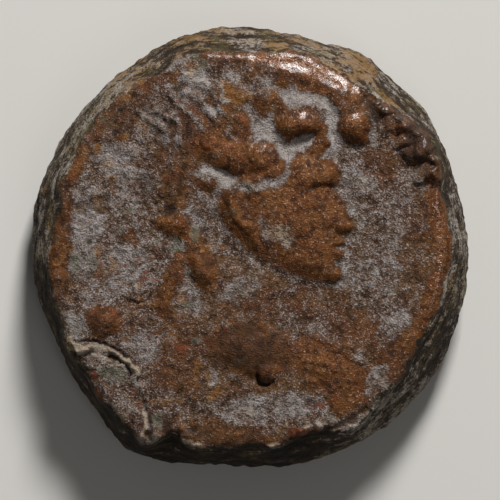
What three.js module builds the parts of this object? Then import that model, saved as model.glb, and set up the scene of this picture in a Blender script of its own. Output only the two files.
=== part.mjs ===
import * as THREE from "three";

// A thick Hellenistic bronze coin, struck on a cast flan with sloping sides. It lies on its reverse,
// with the obverse up and the crown of its head towards +Y. It is one solid. Lengths are in
// millimetres and angles in degrees, turning from +X towards +Y.

// Driving dimensions
const FLAN_RADIUS = 9.5; // at the widest part of the side
const FACE_RADIUS = 8.68; // of the struck obverse
const THICKNESS = 4.4; // from the reverse's worn plane to the obverse's field

// The side: where it is widest, and how far the two faces round off into it
const WIDEST_HEIGHT = 1.7;
const OBVERSE_EDGE_DROP = 0.5;
const REVERSE_EDGE_RISE = 0.4;
const REVERSE_TUCK = 0.45; // the reverse's radius is less than the widest by this

// Each swell is [direction, half width, how far it stands out]; a negative one is a flat or a dent.
const FLAN_SWELLS = [
  [13, 16, -0.12],
  [42, 18, 0.15],
  [68, 12, -0.1],
  [94, 14, 0.18],
  [128, 24, -0.15],
  [206, 14, -0.14],
  [240, 24, 0.68], // the stub of the casting channel
  [312, 46, 0.24],
];
const FACE_SWELLS = [
  [2, 16, 0.18],
  [22, 5, -0.15],
  [31, 12, 0.28], // the lumps that overhang the side
  [56, 10, -0.12],
  [110, 9, 0.18],
  [145, 22, -0.16],
  [186, 18, 0.1],
  [209, 14, 0.38],
  [231, 16, 0.85], // the stub, struck over
  [244.5, 5, -0.3], // the crack beside it
  [320, 36, -0.4],
];

// The raised border of the obverse, at a share of the face's radius
const BORDER_SHARE = 0.93;
const BORDER_HALF_WIDTH = 0.075;
const BORDER_HEIGHT = 0.2;

// The head on the obverse. Its face is a general one in three equal parts, hairline to brow, brow to
// nose and nose to chin, and its profile points are [forward of the face's line, above the chin] in
// those parts. The line of the jaw runs back to the ear, and the last points lie under the hair.
const FACE_THIRD = 2.24;
const FACE_LINE = 4.05;
const CHIN_HEIGHT = -1.67;
const PROFILE = [
  [-0.25, 3.0],
  [-0.06, 2.6],
  [0.02, 2.15],
  [-0.02, 1.93],
  [0.16, 1.5],
  [0.37, 1.14],
  [0.3, 1.02],
  [0.1, 0.97],
  [0.1, 0.82],
  [0.16, 0.71],
  [0.06, 0.64],
  [0.12, 0.55],
  [-0.01, 0.42],
  [0.04, 0.22],
  [-0.14, 0.02],
  [-0.5, -0.02],
  [-1.05, 0.14],
  [-1.75, 0.5],
  [-2.2, 0.95],
  [-2.6, 1.4],
  [-2.6, 2.0],
  [-2.0, 2.6],
  [-1.2, 3.0],
];
const FACE_HEIGHT = 0.6;
const FACE_ROUNDING = 1.25; // how far in from its outline the face has risen to full height

// Ovals that swell or sink the face: [forward, up, half length, half width] in thirds of the face, then
// the turn in degrees and the height in millimetres
const FACE_FORMS = [
  [-0.4, 2.06, 0.44, 0.16, 6, 0.1], // brow
  [-0.4, 1.78, 0.36, 0.2, 0, -0.18], // eye socket
  [-0.42, 1.75, 0.22, 0.12, 0, 0.14], // eye
  [-0.95, 1.35, 0.55, 0.42, 20, 0.1], // cheek
  [-0.02, 1.14, 0.17, 0.14, 0, 0.12], // wing of the nose
  [-0.08, 0.76, 0.28, 0.08, 0, -0.14], // mouth
  [-0.1, 0.22, 0.26, 0.2, 0, 0.1], // chin
  [-2.22, 1.5, 0.3, 0.52, -12, 0.16], // ear
];

const HAIR = [
  [3.7, 4.9],
  [3.75, 6.0],
  [2.6, 7.1],
  [0.2, 7.55],
  [-2.3, 7.2],
  [-4.1, 5.9],
  [-4.75, 4.1],
  [-4.5, 2.2],
  [-3.9, 0.7],
  [-2.9, -0.2],
  [-2.0, 0.5],
  [-1.7, 2.2],
  [-0.6, 3.4],
  [1.2, 4.2],
  [2.6, 4.3],
];
const HAIR_HEIGHT = 0.62;
const HAIR_ROUNDING = 1.15;

const NECK = [
  [2.3, -1.0],
  [1.65, -2.3],
  [1.9, -3.4],
  [2.6, -4.2],
  [-3.2, -4.2],
  [-2.7, -2.4],
  [-2.9, 0.4],
];
const NECK_HEIGHT = 0.26;

const BUST = [
  [-2.9, -3.2],
  [-0.6, -3.1],
  [0.9, -3.35],
  [2.1, -3.9],
  [3.6, -4.5],
  [5.0, -5.1],
  [4.9, -6.0],
  [2.9, -6.8],
  [-0.2, -7.1],
  [-3.6, -6.6],
  [-4.9, -5.3],
  [-4.3, -4.0],
];
const BUST_HEIGHT = 0.3;
const BUST_ROUNDING = 0.7;

// Locks of hair and folds of the dress: the points of each are [x, y, half width].
const LOCKS = [
  { height: 0.72, points: [[-2.5, 4.75, 0.4], [-1.2, 4.5, 0.8], [-0.2, 4.05, 0.72], [0.6, 3.92, 0.74]] },
  { height: 0.5, points: [[0.35, 6.5, 0.35], [0.1, 5.7, 0.36], [-0.4, 4.95, 0.32]] },
  { height: 0.74, points: [[1.45, 5.1, 0.34], [2.0, 5.45, 0.46], [2.7, 5.35, 0.36], [3.0, 4.75, 0.26]] },
  { height: 0.5, points: [[3.02, 4.7, 0.26], [2.8, 4.15, 0.24], [2.4, 3.9, 0.26]] },
  { height: 0.6, points: [[3.6, 6.3, 0.35], [4.1, 5.75, 0.5], [4.4, 5.35, 0.6]] },
  { height: 0.5, points: [[-3.75, 1.15, 0.4], [-3.1, 0.85, 0.5], [-2.75, 0.7, 0.42]] },
  { height: 0.55, points: [[-2.35, 0.0, 0.55], [-2.15, -0.9, 0.68], [-1.85, -1.75, 0.42]] },
  { height: 0.4, points: [[-3.6, -1.6, 0.28], [-3.7, -2.45, 0.42]] },
  { height: 0.5, points: [[-0.9, -4.0, 0.75], [0.7, -4.1, 0.7], [1.7, -4.5, 0.4]] },
  { height: 0.4, points: [[1.9, -4.6, 0.5], [3.4, -5.3, 0.62], [4.7, -5.6, 0.4]] },
];
const LOCK_STEPS = 16;

// Broad waves of the combed hair: arcs about one point behind the head, down to the nape
const WAVE_CENTRE = [-5.2, 3.83];
const WAVE_SPACING = 0.9;
const WAVE_FIRST_RADIUS = 2.2;
const WAVE_LAST_RADIUS = 4.4;
const WAVE_LOWEST = 1.2;
const WAVE_HEIGHT = 0.14;

// A worn symbol in the field behind the shoulder
const SYMBOL = { height: 0.26, points: [[-6.9, -3.05, 0.5], [-6.0, -3.35, 0.55]] };

// Wear has spread the foot of every form by this much. It flattens what stands higher than the next
// value over the field, and leaves this share of the rest.
const WORN_EDGE = 0.15;
const CREASE_FILL = 0.08; // width of the fillet where two forms meet
const WORN_ABOVE = 0.55;
const WORN_SHARE = 0.6;

// The reverse: a club in a wreath, worn down to the plane that the coin rests on
const REVERSE_FIELD = 0.28; // height of the sunk field over that plane
const REVERSE_RIM_SHARE = 0.86;
const REVERSE_ROUND_SHARE = 0.955;
const CLUB = { height: 0.55, points: [[0, -3.4, 0.5], [0, 0, 0.9], [0, 2.2, 1.25], [0, 3.0, 1.15]] };
const CLUB_KNOTS = [[-0.95, 1.2, 0.4], [0.95, 2.1, 0.42], [0.8, -0.3, 0.34], [-0.7, -1.5, 0.3]];
const CLUB_KNOT_HEIGHT = 0.3;
const WREATH_RADIUS = 5.75;
const WREATH_LEAVES = 6; // pairs on each branch
const WREATH_START = -78; // at the tie
const WREATH_END = 68; // at the open top
const LEAF_HALF_LENGTH = 1.3;
const LEAF_HALF_WIDTH = 0.58;
const LEAF_SPREAD = 0.68; // from the stem to the middle of a leaf
const LEAF_TURN = 22; // of a leaf from the stem
const LEAF_HEIGHT = 0.36;
const STEM_HALF_WIDTH = 0.3;
const STEM_HEIGHT = 0.16;

// How finely the surface is faceted. A ring of a face has this many points more than the one inside it,
// which keeps the triangles about one size.
const RING_GROWTH = 8;
const OBVERSE_RINGS = 26;
const REVERSE_RINGS = 17;
const WALL_ROWS = 3;

const clamp = (value, low, high) => Math.min(high, Math.max(low, value));
const radians = THREE.MathUtils.degToRad;

// 1 at the middle of a window and 0 from its half width on
function hump(distance, halfWidth) {
  return Math.cos((clamp(Math.abs(distance) / halfWidth, 0, 1) * Math.PI) / 2) ** 2;
}

function swollen(radius, swells, angle) {
  const direction = THREE.MathUtils.radToDeg(angle);
  const apart = (other) => THREE.MathUtils.euclideanModulo(direction - other + 180, 360) - 180;
  return swells.reduce((sum, [middle, half, out]) => sum + out * hump(apart(middle), half), radius);
}

const faceRadius = (angle) => swollen(FACE_RADIUS, FACE_SWELLS, angle);
const flanRadius = (angle) => swollen(FLAN_RADIUS, FLAN_SWELLS, angle);
const reverseRadius = (angle) => flanRadius(angle) - REVERSE_TUCK;

// The larger of two heights, with the crease between them filled over a width of fillet
function blendUp(a, b, fillet) {
  const near = Math.max(fillet - Math.abs(a - b), 0) / fillet;
  return Math.max(a, b) + (near * near * fillet) / 4;
}

function closedOutline(points) {
  const corners = [...points, points[0]].map(([x, y]) => new THREE.Vector2(x, y));
  return new THREE.SplineCurve(corners).getPoints(points.length * 4).slice(0, -1);
}

// How deep a point lies inside an outline; negative outside
function depthInside(outline, x, y) {
  let nearest = Infinity;
  let inside = false;
  outline.forEach((start, i) => {
    const end = outline[(i + 1) % outline.length];
    const alongX = end.x - start.x;
    const alongY = end.y - start.y;
    const share = ((x - start.x) * alongX + (y - start.y) * alongY) / (alongX ** 2 + alongY ** 2);
    const reached = clamp(share, 0, 1);
    const gapX = x - start.x - reached * alongX;
    const gapY = y - start.y - reached * alongY;
    nearest = Math.min(nearest, Math.hypot(gapX, gapY));
    const crosses = start.y > y !== end.y > y;
    if (crosses && x < start.x + (alongX * (y - start.y)) / alongY) inside = !inside;
  });
  return inside ? nearest : -nearest;
}

// A form that rises in a worn, rounded edge, which starts a little outside its outline
function pillow(depth, rounding, height) {
  const rise = clamp((depth + WORN_EDGE) / (rounding + WORN_EDGE), 0, 1);
  return height * Math.sin((rise * Math.PI) / 2);
}

// A lock, fold or club as a row of overlapping discs along a smooth line
function discsOf({ height, points }) {
  const line = new THREE.CatmullRomCurve3(points.map((point) => new THREE.Vector3(...point)));
  return { height, discs: line.getPoints(LOCK_STEPS) };
}

function roundedHeight({ height, discs }, x, y) {
  const shares = discs.map((disc) => Math.hypot(x - disc.x, y - disc.y) / (disc.z + WORN_EDGE));
  return height * Math.max(0, 1 - Math.min(...shares) ** 2);
}

// An oval dome, turned from +X
function dome(x, y, middle, halfLength, halfWidth, turn, height) {
  const dx = x - middle[0];
  const dy = y - middle[1];
  const along = (dx * Math.cos(turn) + dy * Math.sin(turn)) / halfLength;
  const across = (dy * Math.cos(turn) - dx * Math.sin(turn)) / halfWidth;
  return height * Math.max(0, 1 - along ** 2 - across ** 2);
}

const profileOutline = closedOutline(
  PROFILE.map(([forward, up]) => [FACE_LINE + forward * FACE_THIRD, CHIN_HEIGHT + up * FACE_THIRD]),
);
const hairOutline = closedOutline(HAIR);
const neckOutline = closedOutline(NECK);
const bustOutline = closedOutline(BUST);
const locks = LOCKS.map(discsOf);
const symbol = discsOf(SYMBOL);
const club = discsOf(CLUB);

function hairWaves(x, y) {
  const radius = Math.hypot(x - WAVE_CENTRE[0], y - WAVE_CENTRE[1]);
  const middle = (WAVE_FIRST_RADIUS + WAVE_LAST_RADIUS) / 2;
  const shown = hump(radius - middle, middle - WAVE_FIRST_RADIUS + WAVE_SPACING);
  const wave = Math.cos((2 * Math.PI * (radius - WAVE_FIRST_RADIUS)) / WAVE_SPACING);
  return y > WAVE_LOWEST ? WAVE_HEIGHT * shown * wave : 0;
}

function faceForms(x, y) {
  return FACE_FORMS.reduce((sum, [forward, up, halfLength, halfWidth, turn, height]) => {
    const middle = [FACE_LINE + forward * FACE_THIRD, CHIN_HEIGHT + up * FACE_THIRD];
    const size = [halfLength * FACE_THIRD, halfWidth * FACE_THIRD];
    return sum + dome(x, y, middle, ...size, radians(turn), height);
  }, 0);
}

// Height of the obverse's relief over its field
function obverseRelief(x, y) {
  const faceDepth = depthInside(profileOutline, x, y);
  const features = faceDepth > 0 ? faceForms(x, y) : 0;
  const face = pillow(faceDepth, FACE_ROUNDING, FACE_HEIGHT) + features;
  const hairDepth = depthInside(hairOutline, x, y);
  const waves = hairDepth > 0 ? hairWaves(x, y) : 0;
  const hair = pillow(hairDepth, HAIR_ROUNDING, HAIR_HEIGHT) + waves;
  const neck = pillow(depthInside(neckOutline, x, y), FACE_ROUNDING, NECK_HEIGHT);
  const bust = pillow(depthInside(bustOutline, x, y), BUST_ROUNDING, BUST_HEIGHT);
  const forms = [face, hair, neck, bust, roundedHeight(symbol, x, y)];
  const carved = locks.map((lock) => roundedHeight(lock, x, y));
  const height = [...forms, ...carved].reduce((sum, form) => blendUp(sum, form, CREASE_FILL), 0);
  return height < WORN_ABOVE ? height : WORN_ABOVE + (height - WORN_ABOVE) * WORN_SHARE;
}

function obverseHeight(x, y, share) {
  const border = BORDER_HEIGHT * hump(share - BORDER_SHARE, BORDER_HALF_WIDTH);
  const outside = clamp((share - BORDER_SHARE) / (1 - BORDER_SHARE), 0, 1);
  const drop = OBVERSE_EDGE_DROP * (1 - Math.sqrt(1 - outside ** 2));
  const relief = obverseRelief(x, y) * (1 - outside);
  return THICKNESS + Math.max(border, relief) - drop;
}

function wreathRelief(x, y) {
  const stem = STEM_HEIGHT * hump(Math.hypot(x, y) - WREATH_RADIUS, STEM_HALF_WIDTH);
  let height = y < WREATH_RADIUS * Math.sin(radians(WREATH_END)) ? stem : 0;
  for (const side of [-1, 1]) {
    for (let leaf = 0; leaf < WREATH_LEAVES; leaf += 1) {
      const along = WREATH_START + ((WREATH_END - WREATH_START) * leaf) / (WREATH_LEAVES - 1);
      for (const row of [-1, 1]) {
        const radius = WREATH_RADIUS + row * LEAF_SPREAD;
        const middle = [radius * Math.cos(radians(along)), radius * Math.sin(radians(along))];
        const turn = radians(along + 90 - row * LEAF_TURN);
        const form = dome(side * x, y, middle, LEAF_HALF_LENGTH, LEAF_HALF_WIDTH, turn, LEAF_HEIGHT);
        height = Math.max(height, form);
      }
    }
  }
  return height;
}

function reverseHeight(x, y, share) {
  const knots = CLUB_KNOTS.map(([kx, ky, r]) => dome(x, y, [kx, ky], r, r, 0, CLUB_KNOT_HEIGHT));
  const rim = share > REVERSE_RIM_SHARE ? REVERSE_FIELD : 0;
  const relief = Math.max(rim, roundedHeight(club, x, y), wreathRelief(x, y), ...knots);
  const outside = clamp((share - REVERSE_ROUND_SHARE) / (1 - REVERSE_ROUND_SHARE), 0, 1);
  const rise = REVERSE_EDGE_RISE * (1 - Math.sqrt(1 - outside ** 2));
  return Math.max(0, REVERSE_FIELD - relief) + rise;
}

// The side bulges out from the obverse's edge to its widest height, then turns in to the reverse.
function wallPoint(angle, share) {
  const top = THICKNESS - OBVERSE_EDGE_DROP;
  const height = top + (REVERSE_EDGE_RISE - top) * share;
  const above = height > WIDEST_HEIGHT;
  const end = above ? top : REVERSE_EDGE_RISE;
  const toEnd = (height - WIDEST_HEIGHT) / (end - WIDEST_HEIGHT);
  const edge = above ? faceRadius(angle) : reverseRadius(angle);
  const radius = edge + (flanRadius(angle) - edge) * Math.sqrt(1 - toEnd ** 2);
  return [radius * Math.cos(angle), radius * Math.sin(angle), height];
}

function ring(count, pointAt) {
  return Array.from({ length: count }, (_, i) => pointAt((2 * Math.PI * i) / count));
}

function facePoint(radiusAt, heightAt, share) {
  return (angle) => {
    const x = radiusAt(angle) * share * Math.cos(angle);
    const y = radiusAt(angle) * share * Math.sin(angle);
    return [x, y, heightAt(x, y, share)];
  };
}

// Rings of points from the middle of the obverse, over the side, to the middle of the reverse
function coinRings() {
  const rings = [];
  for (let i = 0; i <= OBVERSE_RINGS; i += 1) {
    const point = facePoint(faceRadius, obverseHeight, i / OBVERSE_RINGS);
    rings.push(ring(Math.max(1, RING_GROWTH * i), point));
  }
  for (let row = 1; row <= WALL_ROWS; row += 1) {
    const point = (angle) => wallPoint(angle, row / (WALL_ROWS + 1));
    rings.push(ring(RING_GROWTH * OBVERSE_RINGS, point));
  }
  for (let i = REVERSE_RINGS; i >= 0; i -= 1) {
    const point = facePoint(reverseRadius, reverseHeight, i / REVERSE_RINGS);
    rings.push(ring(Math.max(1, RING_GROWTH * i), point));
  }
  return rings;
}

// Joins two rings with triangles, stepping along whichever ring is behind.
function stitch(indices, innerStart, innerCount, outerStart, outerCount) {
  let inner = 0;
  let outer = 0;
  const innerSteps = innerCount > 1 ? innerCount : 0;
  const outerSteps = outerCount > 1 ? outerCount : 0;
  while (inner < innerSteps || outer < outerSteps) {
    const a = innerStart + (inner % innerCount);
    const b = outerStart + (outer % outerCount);
    const innerNext = (inner + 0.5) / innerCount;
    const outerNext = (outer + 0.5) / outerCount;
    const stepOuter = inner >= innerSteps || (outer < outerSteps && outerNext <= innerNext);
    if (stepOuter) {
      outer += 1;
      indices.push(a, b, outerStart + (outer % outerCount));
    } else {
      inner += 1;
      indices.push(a, b, innerStart + (inner % innerCount));
    }
  }
}

function coinGeometry() {
  const rings = coinRings();
  const indices = [];
  let start = 0;
  rings.slice(0, -1).forEach((points, i) => {
    stitch(indices, start, points.length, start + points.length, rings[i + 1].length);
    start += points.length;
  });
  const positions = new Float32Array(rings.flat(2));
  const geometry = new THREE.BufferGeometry();
  geometry.setAttribute("position", new THREE.BufferAttribute(positions, 3));
  geometry.setIndex(indices);
  geometry.computeBoundingBox();
  const middle = geometry.boundingBox.getCenter(new THREE.Vector3());
  geometry.translate(-middle.x, -middle.y, 0);
  geometry.computeVertexNormals();
  return geometry;
}

const bronze = new THREE.MeshStandardMaterial({ color: 0x7a4f30, roughness: 0.5, metalness: 0.7 });

const coin = new THREE.Mesh(coinGeometry(), bronze);
coin.name = "coin";

const part = new THREE.Group();
part.add(coin);

export default part;
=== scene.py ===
"""A thick Hellenistic bronze coin, struck on a cast flan with sloping sides.

It lies on its reverse, with the obverse up and the crown of the head towards +Y. The whole coin is one
struck solid, so it is one mesh: rings of points run from the middle of the obverse, over the side, to
the middle of the reverse. Shapes are worked out in millimetres about the coin's centre, and angles in
degrees, turning from +X towards +Y. The mesh itself is in metres.
"""

import math
from itertools import product

import bpy
import numpy as np
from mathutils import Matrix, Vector


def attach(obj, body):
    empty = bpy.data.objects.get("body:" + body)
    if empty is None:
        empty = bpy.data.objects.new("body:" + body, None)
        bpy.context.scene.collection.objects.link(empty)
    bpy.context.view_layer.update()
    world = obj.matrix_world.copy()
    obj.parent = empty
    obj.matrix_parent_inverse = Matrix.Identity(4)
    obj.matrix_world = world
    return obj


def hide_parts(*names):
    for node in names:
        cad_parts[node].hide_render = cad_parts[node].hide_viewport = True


MM = 0.001

# The flan and the struck face have the solid's sizes, and their swells are drawn more closely than there.
FLAN_RADIUS = 9.5
FACE_RADIUS = 8.68
THICKNESS = 4.4
WIDEST_HEIGHT = 1.7
OBVERSE_EDGE_DROP = 0.5
REVERSE_EDGE_RISE = 0.4
REVERSE_TUCK = 0.45
SHOULDER_SLOPE = 0.55  # how far the side is from an even curve towards a straight slope

# Each swell is (direction, half width, how far it stands out); a negative one is a flat or a dent.
FLAN_SWELLS = [
    (13, 16, -0.12),
    (42, 18, 0.15),
    (60, 14, 0.27),
    (94, 14, 0.18),
    (108, 16, 0.25),
    (170, 12, 0.1),
    (206, 14, -0.14),
    (240, 24, 0.68),  # the stub of the casting channel
    (312, 46, 0.24),
]
FACE_SWELLS = [
    (0, 10, 0.2),
    (17, 6, -0.12),
    (30, 18, 0.58),  # the lumps that overhang the side
    (78, 14, 0.16),
    (90, 6, -0.1),
    (108, 12, 0.33),
    (134, 16, 0.25),
    (160, 8, 0.2),
    (184, 12, 0.22),
    (196, 10, 0.2),
    (208, 9, 0.45),
    (217, 9, 0.36),
    (226, 9, 0.58),
    (235, 9, 0.92),  # the stub, struck over
    (242.5, 6.5, 1.02),
    (246, 4, -0.08),  # the crack beside it
    (256, 9, 0.33),
    (283, 8, -0.1),
    (300, 12, 0.4),  # a crumbling lip
    (330, 14, -0.14),
]

# The edge of the obverse turns down from a share of the face's radius on. Its border stands up most
# along the top: each row is (direction, half width, share of the radius, height in millimetres).
EDGE_SHARE = 0.94
EDGE_RINGS_SHARE = 0.09  # of the face's rings are used for the turn
BORDER_HALF_WIDTH = 0.075
BORDER = [
    (72, 42, 0.88, 0.27),
    (150, 40, 0.94, 0.1),
    (4, 30, 0.915, 0.14),
    (350, 60, 0.93, 0.07),
    (230, 50, 0.93, 0.04),
]

# The edge of the face is bare: (direction, half width, how bare)
RIM_SHARE = 0.9
SIDE_SHARE = 0.98  # of the radius, where the side's own finish starts
# Noise moves these lines in and out by this share of the radius.
BORDER_WANDER = 0.008
RIM_WANDER = 0.018
SIDE_WANDER = 0.022
RIM_BARE = [(0, 85, 1.0), (76, 34, 0.6), (178, 26, 1.0), (138, 24, 0.5), (262, 34, 0.6)]

# The head. Its face is a general one in three equal parts: hairline to brow, brow to nose, and nose to
# chin. Profile points are (forward of the face's line, above the chin) in those parts. The jaw runs
# back to the ear, and the last points lie under the hair.
FACE_THIRD = 2.24
FACE_LINE = 4.05
CHIN_HEIGHT = -1.67
PROFILE = [
    (-0.25, 3.0),
    (-0.06, 2.6),
    (0.02, 2.15),
    (-0.02, 1.93),
    (0.16, 1.5),
    (0.37, 1.14),
    (0.3, 1.02),
    (0.1, 0.97),
    (0.1, 0.82),
    (0.16, 0.71),
    (0.06, 0.64),
    (0.12, 0.55),
    (-0.01, 0.42),
    (0.04, 0.22),
    (-0.14, 0.02),
    (-0.5, -0.02),
    (-1.05, 0.14),
    (-1.75, 0.5),
    (-2.25, 0.95),
    (-2.55, 1.45),
    (-2.45, 1.95),
    (-2.0, 2.35),
    (-1.2, 3.0),
]
FACE_HEIGHT = 0.6
FACE_ROUNDING = 1.35
HAIRLINE = (3.4, 4.3)  # the forehead sinks between these heights, under the locks
HAIRLINE_SHARE = 0.2  # of its height is left there

# Ovals that swell or sink the face: (forward, up, half length, half width) in thirds of the face, then
# the turn in degrees and the height in millimetres
FACE_FORMS = [
    (-0.42, 2.12, 0.55, 0.24, 8, 0.11),  # brow
    (-0.42, 1.8, 0.4, 0.24, 0, -0.25),  # eye socket
    (-0.4, 1.75, 0.26, 0.15, 0, 0.2),  # eye
    (-0.85, 1.35, 0.55, 0.4, 25, 0.13),  # cheek
    (-0.02, 1.14, 0.2, 0.15, 0, 0.17),  # wing of the nose
    (-0.05, 0.765, 0.22, 0.055, 0, -0.15),  # mouth
    (-0.1, 0.22, 0.28, 0.22, 0, 0.13),  # chin
    (-1.15, 0.72, 0.5, 0.28, 25, -0.08),  # hollow of the cheek
    (-0.06, 0.87, 0.18, 0.09, 8, 0.07),  # upper lip
    (-0.08, 0.65, 0.16, 0.09, -6, 0.08),  # lower lip
    (-0.05, 0.45, 0.2, 0.08, 0, -0.07),  # crease over the chin
    (-0.3, 1.06, 0.08, 0.18, -20, -0.1),  # crease behind the wing of the nose
    (-1.92, 1.62, 0.15, 0.27, -10, -0.16),  # hollow of the ear
    (-1.84, 1.14, 0.14, 0.15, 0, 0.12),  # lobe of the ear
    (-1.62, 1.3, 0.12, 0.5, -8, -0.08),  # crease before the ear
]
# Worn lines of the face: (forward, up) in thirds of the face, half width and height in millimetres
EAR_RIM = [(-1.7, 1.86), (-1.86, 2.02), (-2.08, 1.98), (-2.2, 1.75), (-2.12, 1.42), (-1.96, 1.2)]
FACE_LINES = [
    ([(-0.7, 1.7), (-0.5, 1.87), (-0.28, 1.88), (-0.12, 1.76)], 0.13, 0.12),  # upper lid
    ([(-0.62, 1.67), (-0.4, 1.6), (-0.18, 1.68)], 0.1, 0.07),  # lower lid
    (EAR_RIM, 0.2, 0.16),
]

HAIR = [
    (-0.2, 4.3),
    (0.1, 5.8),
    (0.6, 7.3),
    (-0.8, 7.6),
    (-2.3, 7.2),
    (-4.1, 5.9),
    (-4.75, 4.1),
    (-4.5, 2.2),
    (-3.9, 0.7),
    (-2.9, -0.2),
    (-2.0, 0.5),
    (-1.9, 2.2),
    (-1.5, 3.4),
]
# The low ground under the locks over the forehead
FRINGE = [(-0.2, 4.2), (0.3, 6.9), (1.6, 7.7), (3.4, 7.1), (4.5, 6.0), (4.3, 4.9), (3.5, 4.2), (2.2, 3.4)]
NECK = [(2.3, -1.0), (1.65, -2.3), (1.9, -3.4), (2.6, -4.2), (-3.2, -4.2), (-2.7, -2.4), (-2.9, 0.4)]
BUST = [
    (-2.9, -3.4),
    (-0.6, -3.0),
    (0.9, -3.15),
    (2.1, -3.7),
    (3.6, -4.1),
    (5.0, -4.8),
    (5.2, -5.9),
    (2.9, -6.9),
    (-0.2, -7.1),
    (-3.6, -6.6),
    (-4.9, -5.3),
    (-4.3, -4.0),
]
# Each of those: outline, rounding, height, and how bare its top is worn
PILLOWS = [
    (HAIR, 1.7, 0.36, 0.5),
    (FRINGE, 0.7, 0.16, 0.1),
    (NECK, 1.3, 0.26, 0.3),
    (BUST, 0.9, 0.2, 0.35),
]

# Locks of hair and folds of the dress that are worn to domes: (x, y, half length, half width, turn), then
# the height and how bare the top is
DOMES = [
    (0.5, 3.86, 1.0, 0.98, 20, 0.85, 1.0),  # the long lock, its tip and its root
    (-0.45, 3.95, 1.5, 0.98, -10, 0.62, 1.0),
    (-1.6, 4.4, 1.5, 1.0, -18, 0.5, 0.85),
    (-0.35, 5.25, 0.62, 0.95, 20, 0.45, 0.65),
    (-1.5, 5.5, 0.6, 0.7, 30, 0.4, 0.55),
    (2.05, 5.4, 1.25, 0.74, 8, 0.85, 1.0),  # the hooked lock, with a long slope behind it
    (1.55, 5.1, 0.72, 0.7, 0, 0.5, 1.0),
    (2.1, 6.0, 1.5, 0.95, 0, 0.5, 0.2),
    (4.48, 5.2, 0.85, 0.86, 80, 0.75, 1.0),  # the front lock, and its slope
    (4.2, 6.0, 1.3, 0.9, -65, 0.5, 0.45),
    (2.4, 7.15, 1.9, 0.8, -14, 0.2, 0.8),
    (3.7, 6.6, 1.1, 0.65, -35, 0.2, 0.5),
    (0.7, 6.3, 0.8, 1.05, 10, 0.42, 0.6),
    (0.2, 7.4, 0.8, 0.5, 10, 0.3, 0.35),
    (-0.7, 6.6, 0.9, 0.55, -20, 0.34, 0.6),
    (-3.2, 0.95, 1.15, 0.68, -8, 0.45, 0.85),  # the nape
    (-2.1, -0.8, 0.82, 1.4, 12, 0.55, 0.95),
    (-2.4, 0.35, 0.6, 0.7, 0, 0.4, 0.7),
    (-3.75, -2.3, 0.55, 1.0, 8, 0.3, 0.8),
    (-2.0, 3.0, 0.9, 0.6, -20, 0.4, 0.7),
    (-0.1, -4.45, 2.35, 1.45, -8, 0.46, 0.95),  # the dress: the dark fold, then the ochre one
    (3.3, -5.1, 2.5, 1.5, -24, 0.32, 0.95),
    (4.2, -6.6, 1.2, 0.75, 20, 0.2, 0.8),
    (-2.6, -5.2, 1.5, 0.9, 20, 0.16, 0.3),
    (-6.35, -3.15, 1.05, 0.85, -35, 0.4, 0.95),  # a worn symbol behind the shoulder
    (-6.2, -1.1, 0.8, 0.5, 10, 0.12, 0.6),
    (-5.2, 0.4, 0.6, 0.4, -30, 0.1, 0.5),
    (6.9, 5.0, 0.9, 0.5, 120, 0.12, 0.4),
]
# Links between them: height, how bare, then (x, y, half width) points
LOCKS = [
    (0.34, 0.9, [(3.05, 5.2, 0.4), (3.2, 4.75, 0.38), (3.0, 4.35, 0.36), (2.65, 4.05, 0.34),
                 (2.36, 3.9, 0.32)]),
    (0.34, 0.7, [(0.9, 6.6, 0.42), (1.15, 6.0, 0.4), (1.35, 5.4, 0.45)]),
    (0.3, 0.8, [(-3.0, -0.4, 0.3), (-3.4, -1.2, 0.36), (-3.6, -1.9, 0.42)]),
    (0.3, 0.5, [(-1.7, -3.9, 0.2), (-0.9, -3.42, 0.3), (0.3, -3.3, 0.34), (1.2, -3.6, 0.34),
                (1.8, -4.2, 0.3)]),  # the top of the dark fold
]

# Where the hair is worn smooth, with less crumbling: (x, y, half length, half width, turn, share)
SMOOTH_HAIR = [(-3.1, 5.2, 2.6, 2.2, 40, 0.75)]

# Combed strands at the back of the head: arcs about one point, a comb's spacing apart, mostly worn away
STRAND_CENTRE = (-5.2, 3.83)
STRAND_SPACING = 0.52
STRAND_FIRST_RADIUS = 0.9
STRAND_LAST_RADIUS = 4.2
STRAND_HEIGHT = 0.06
STRAND_SPREAD = 0.05

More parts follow.
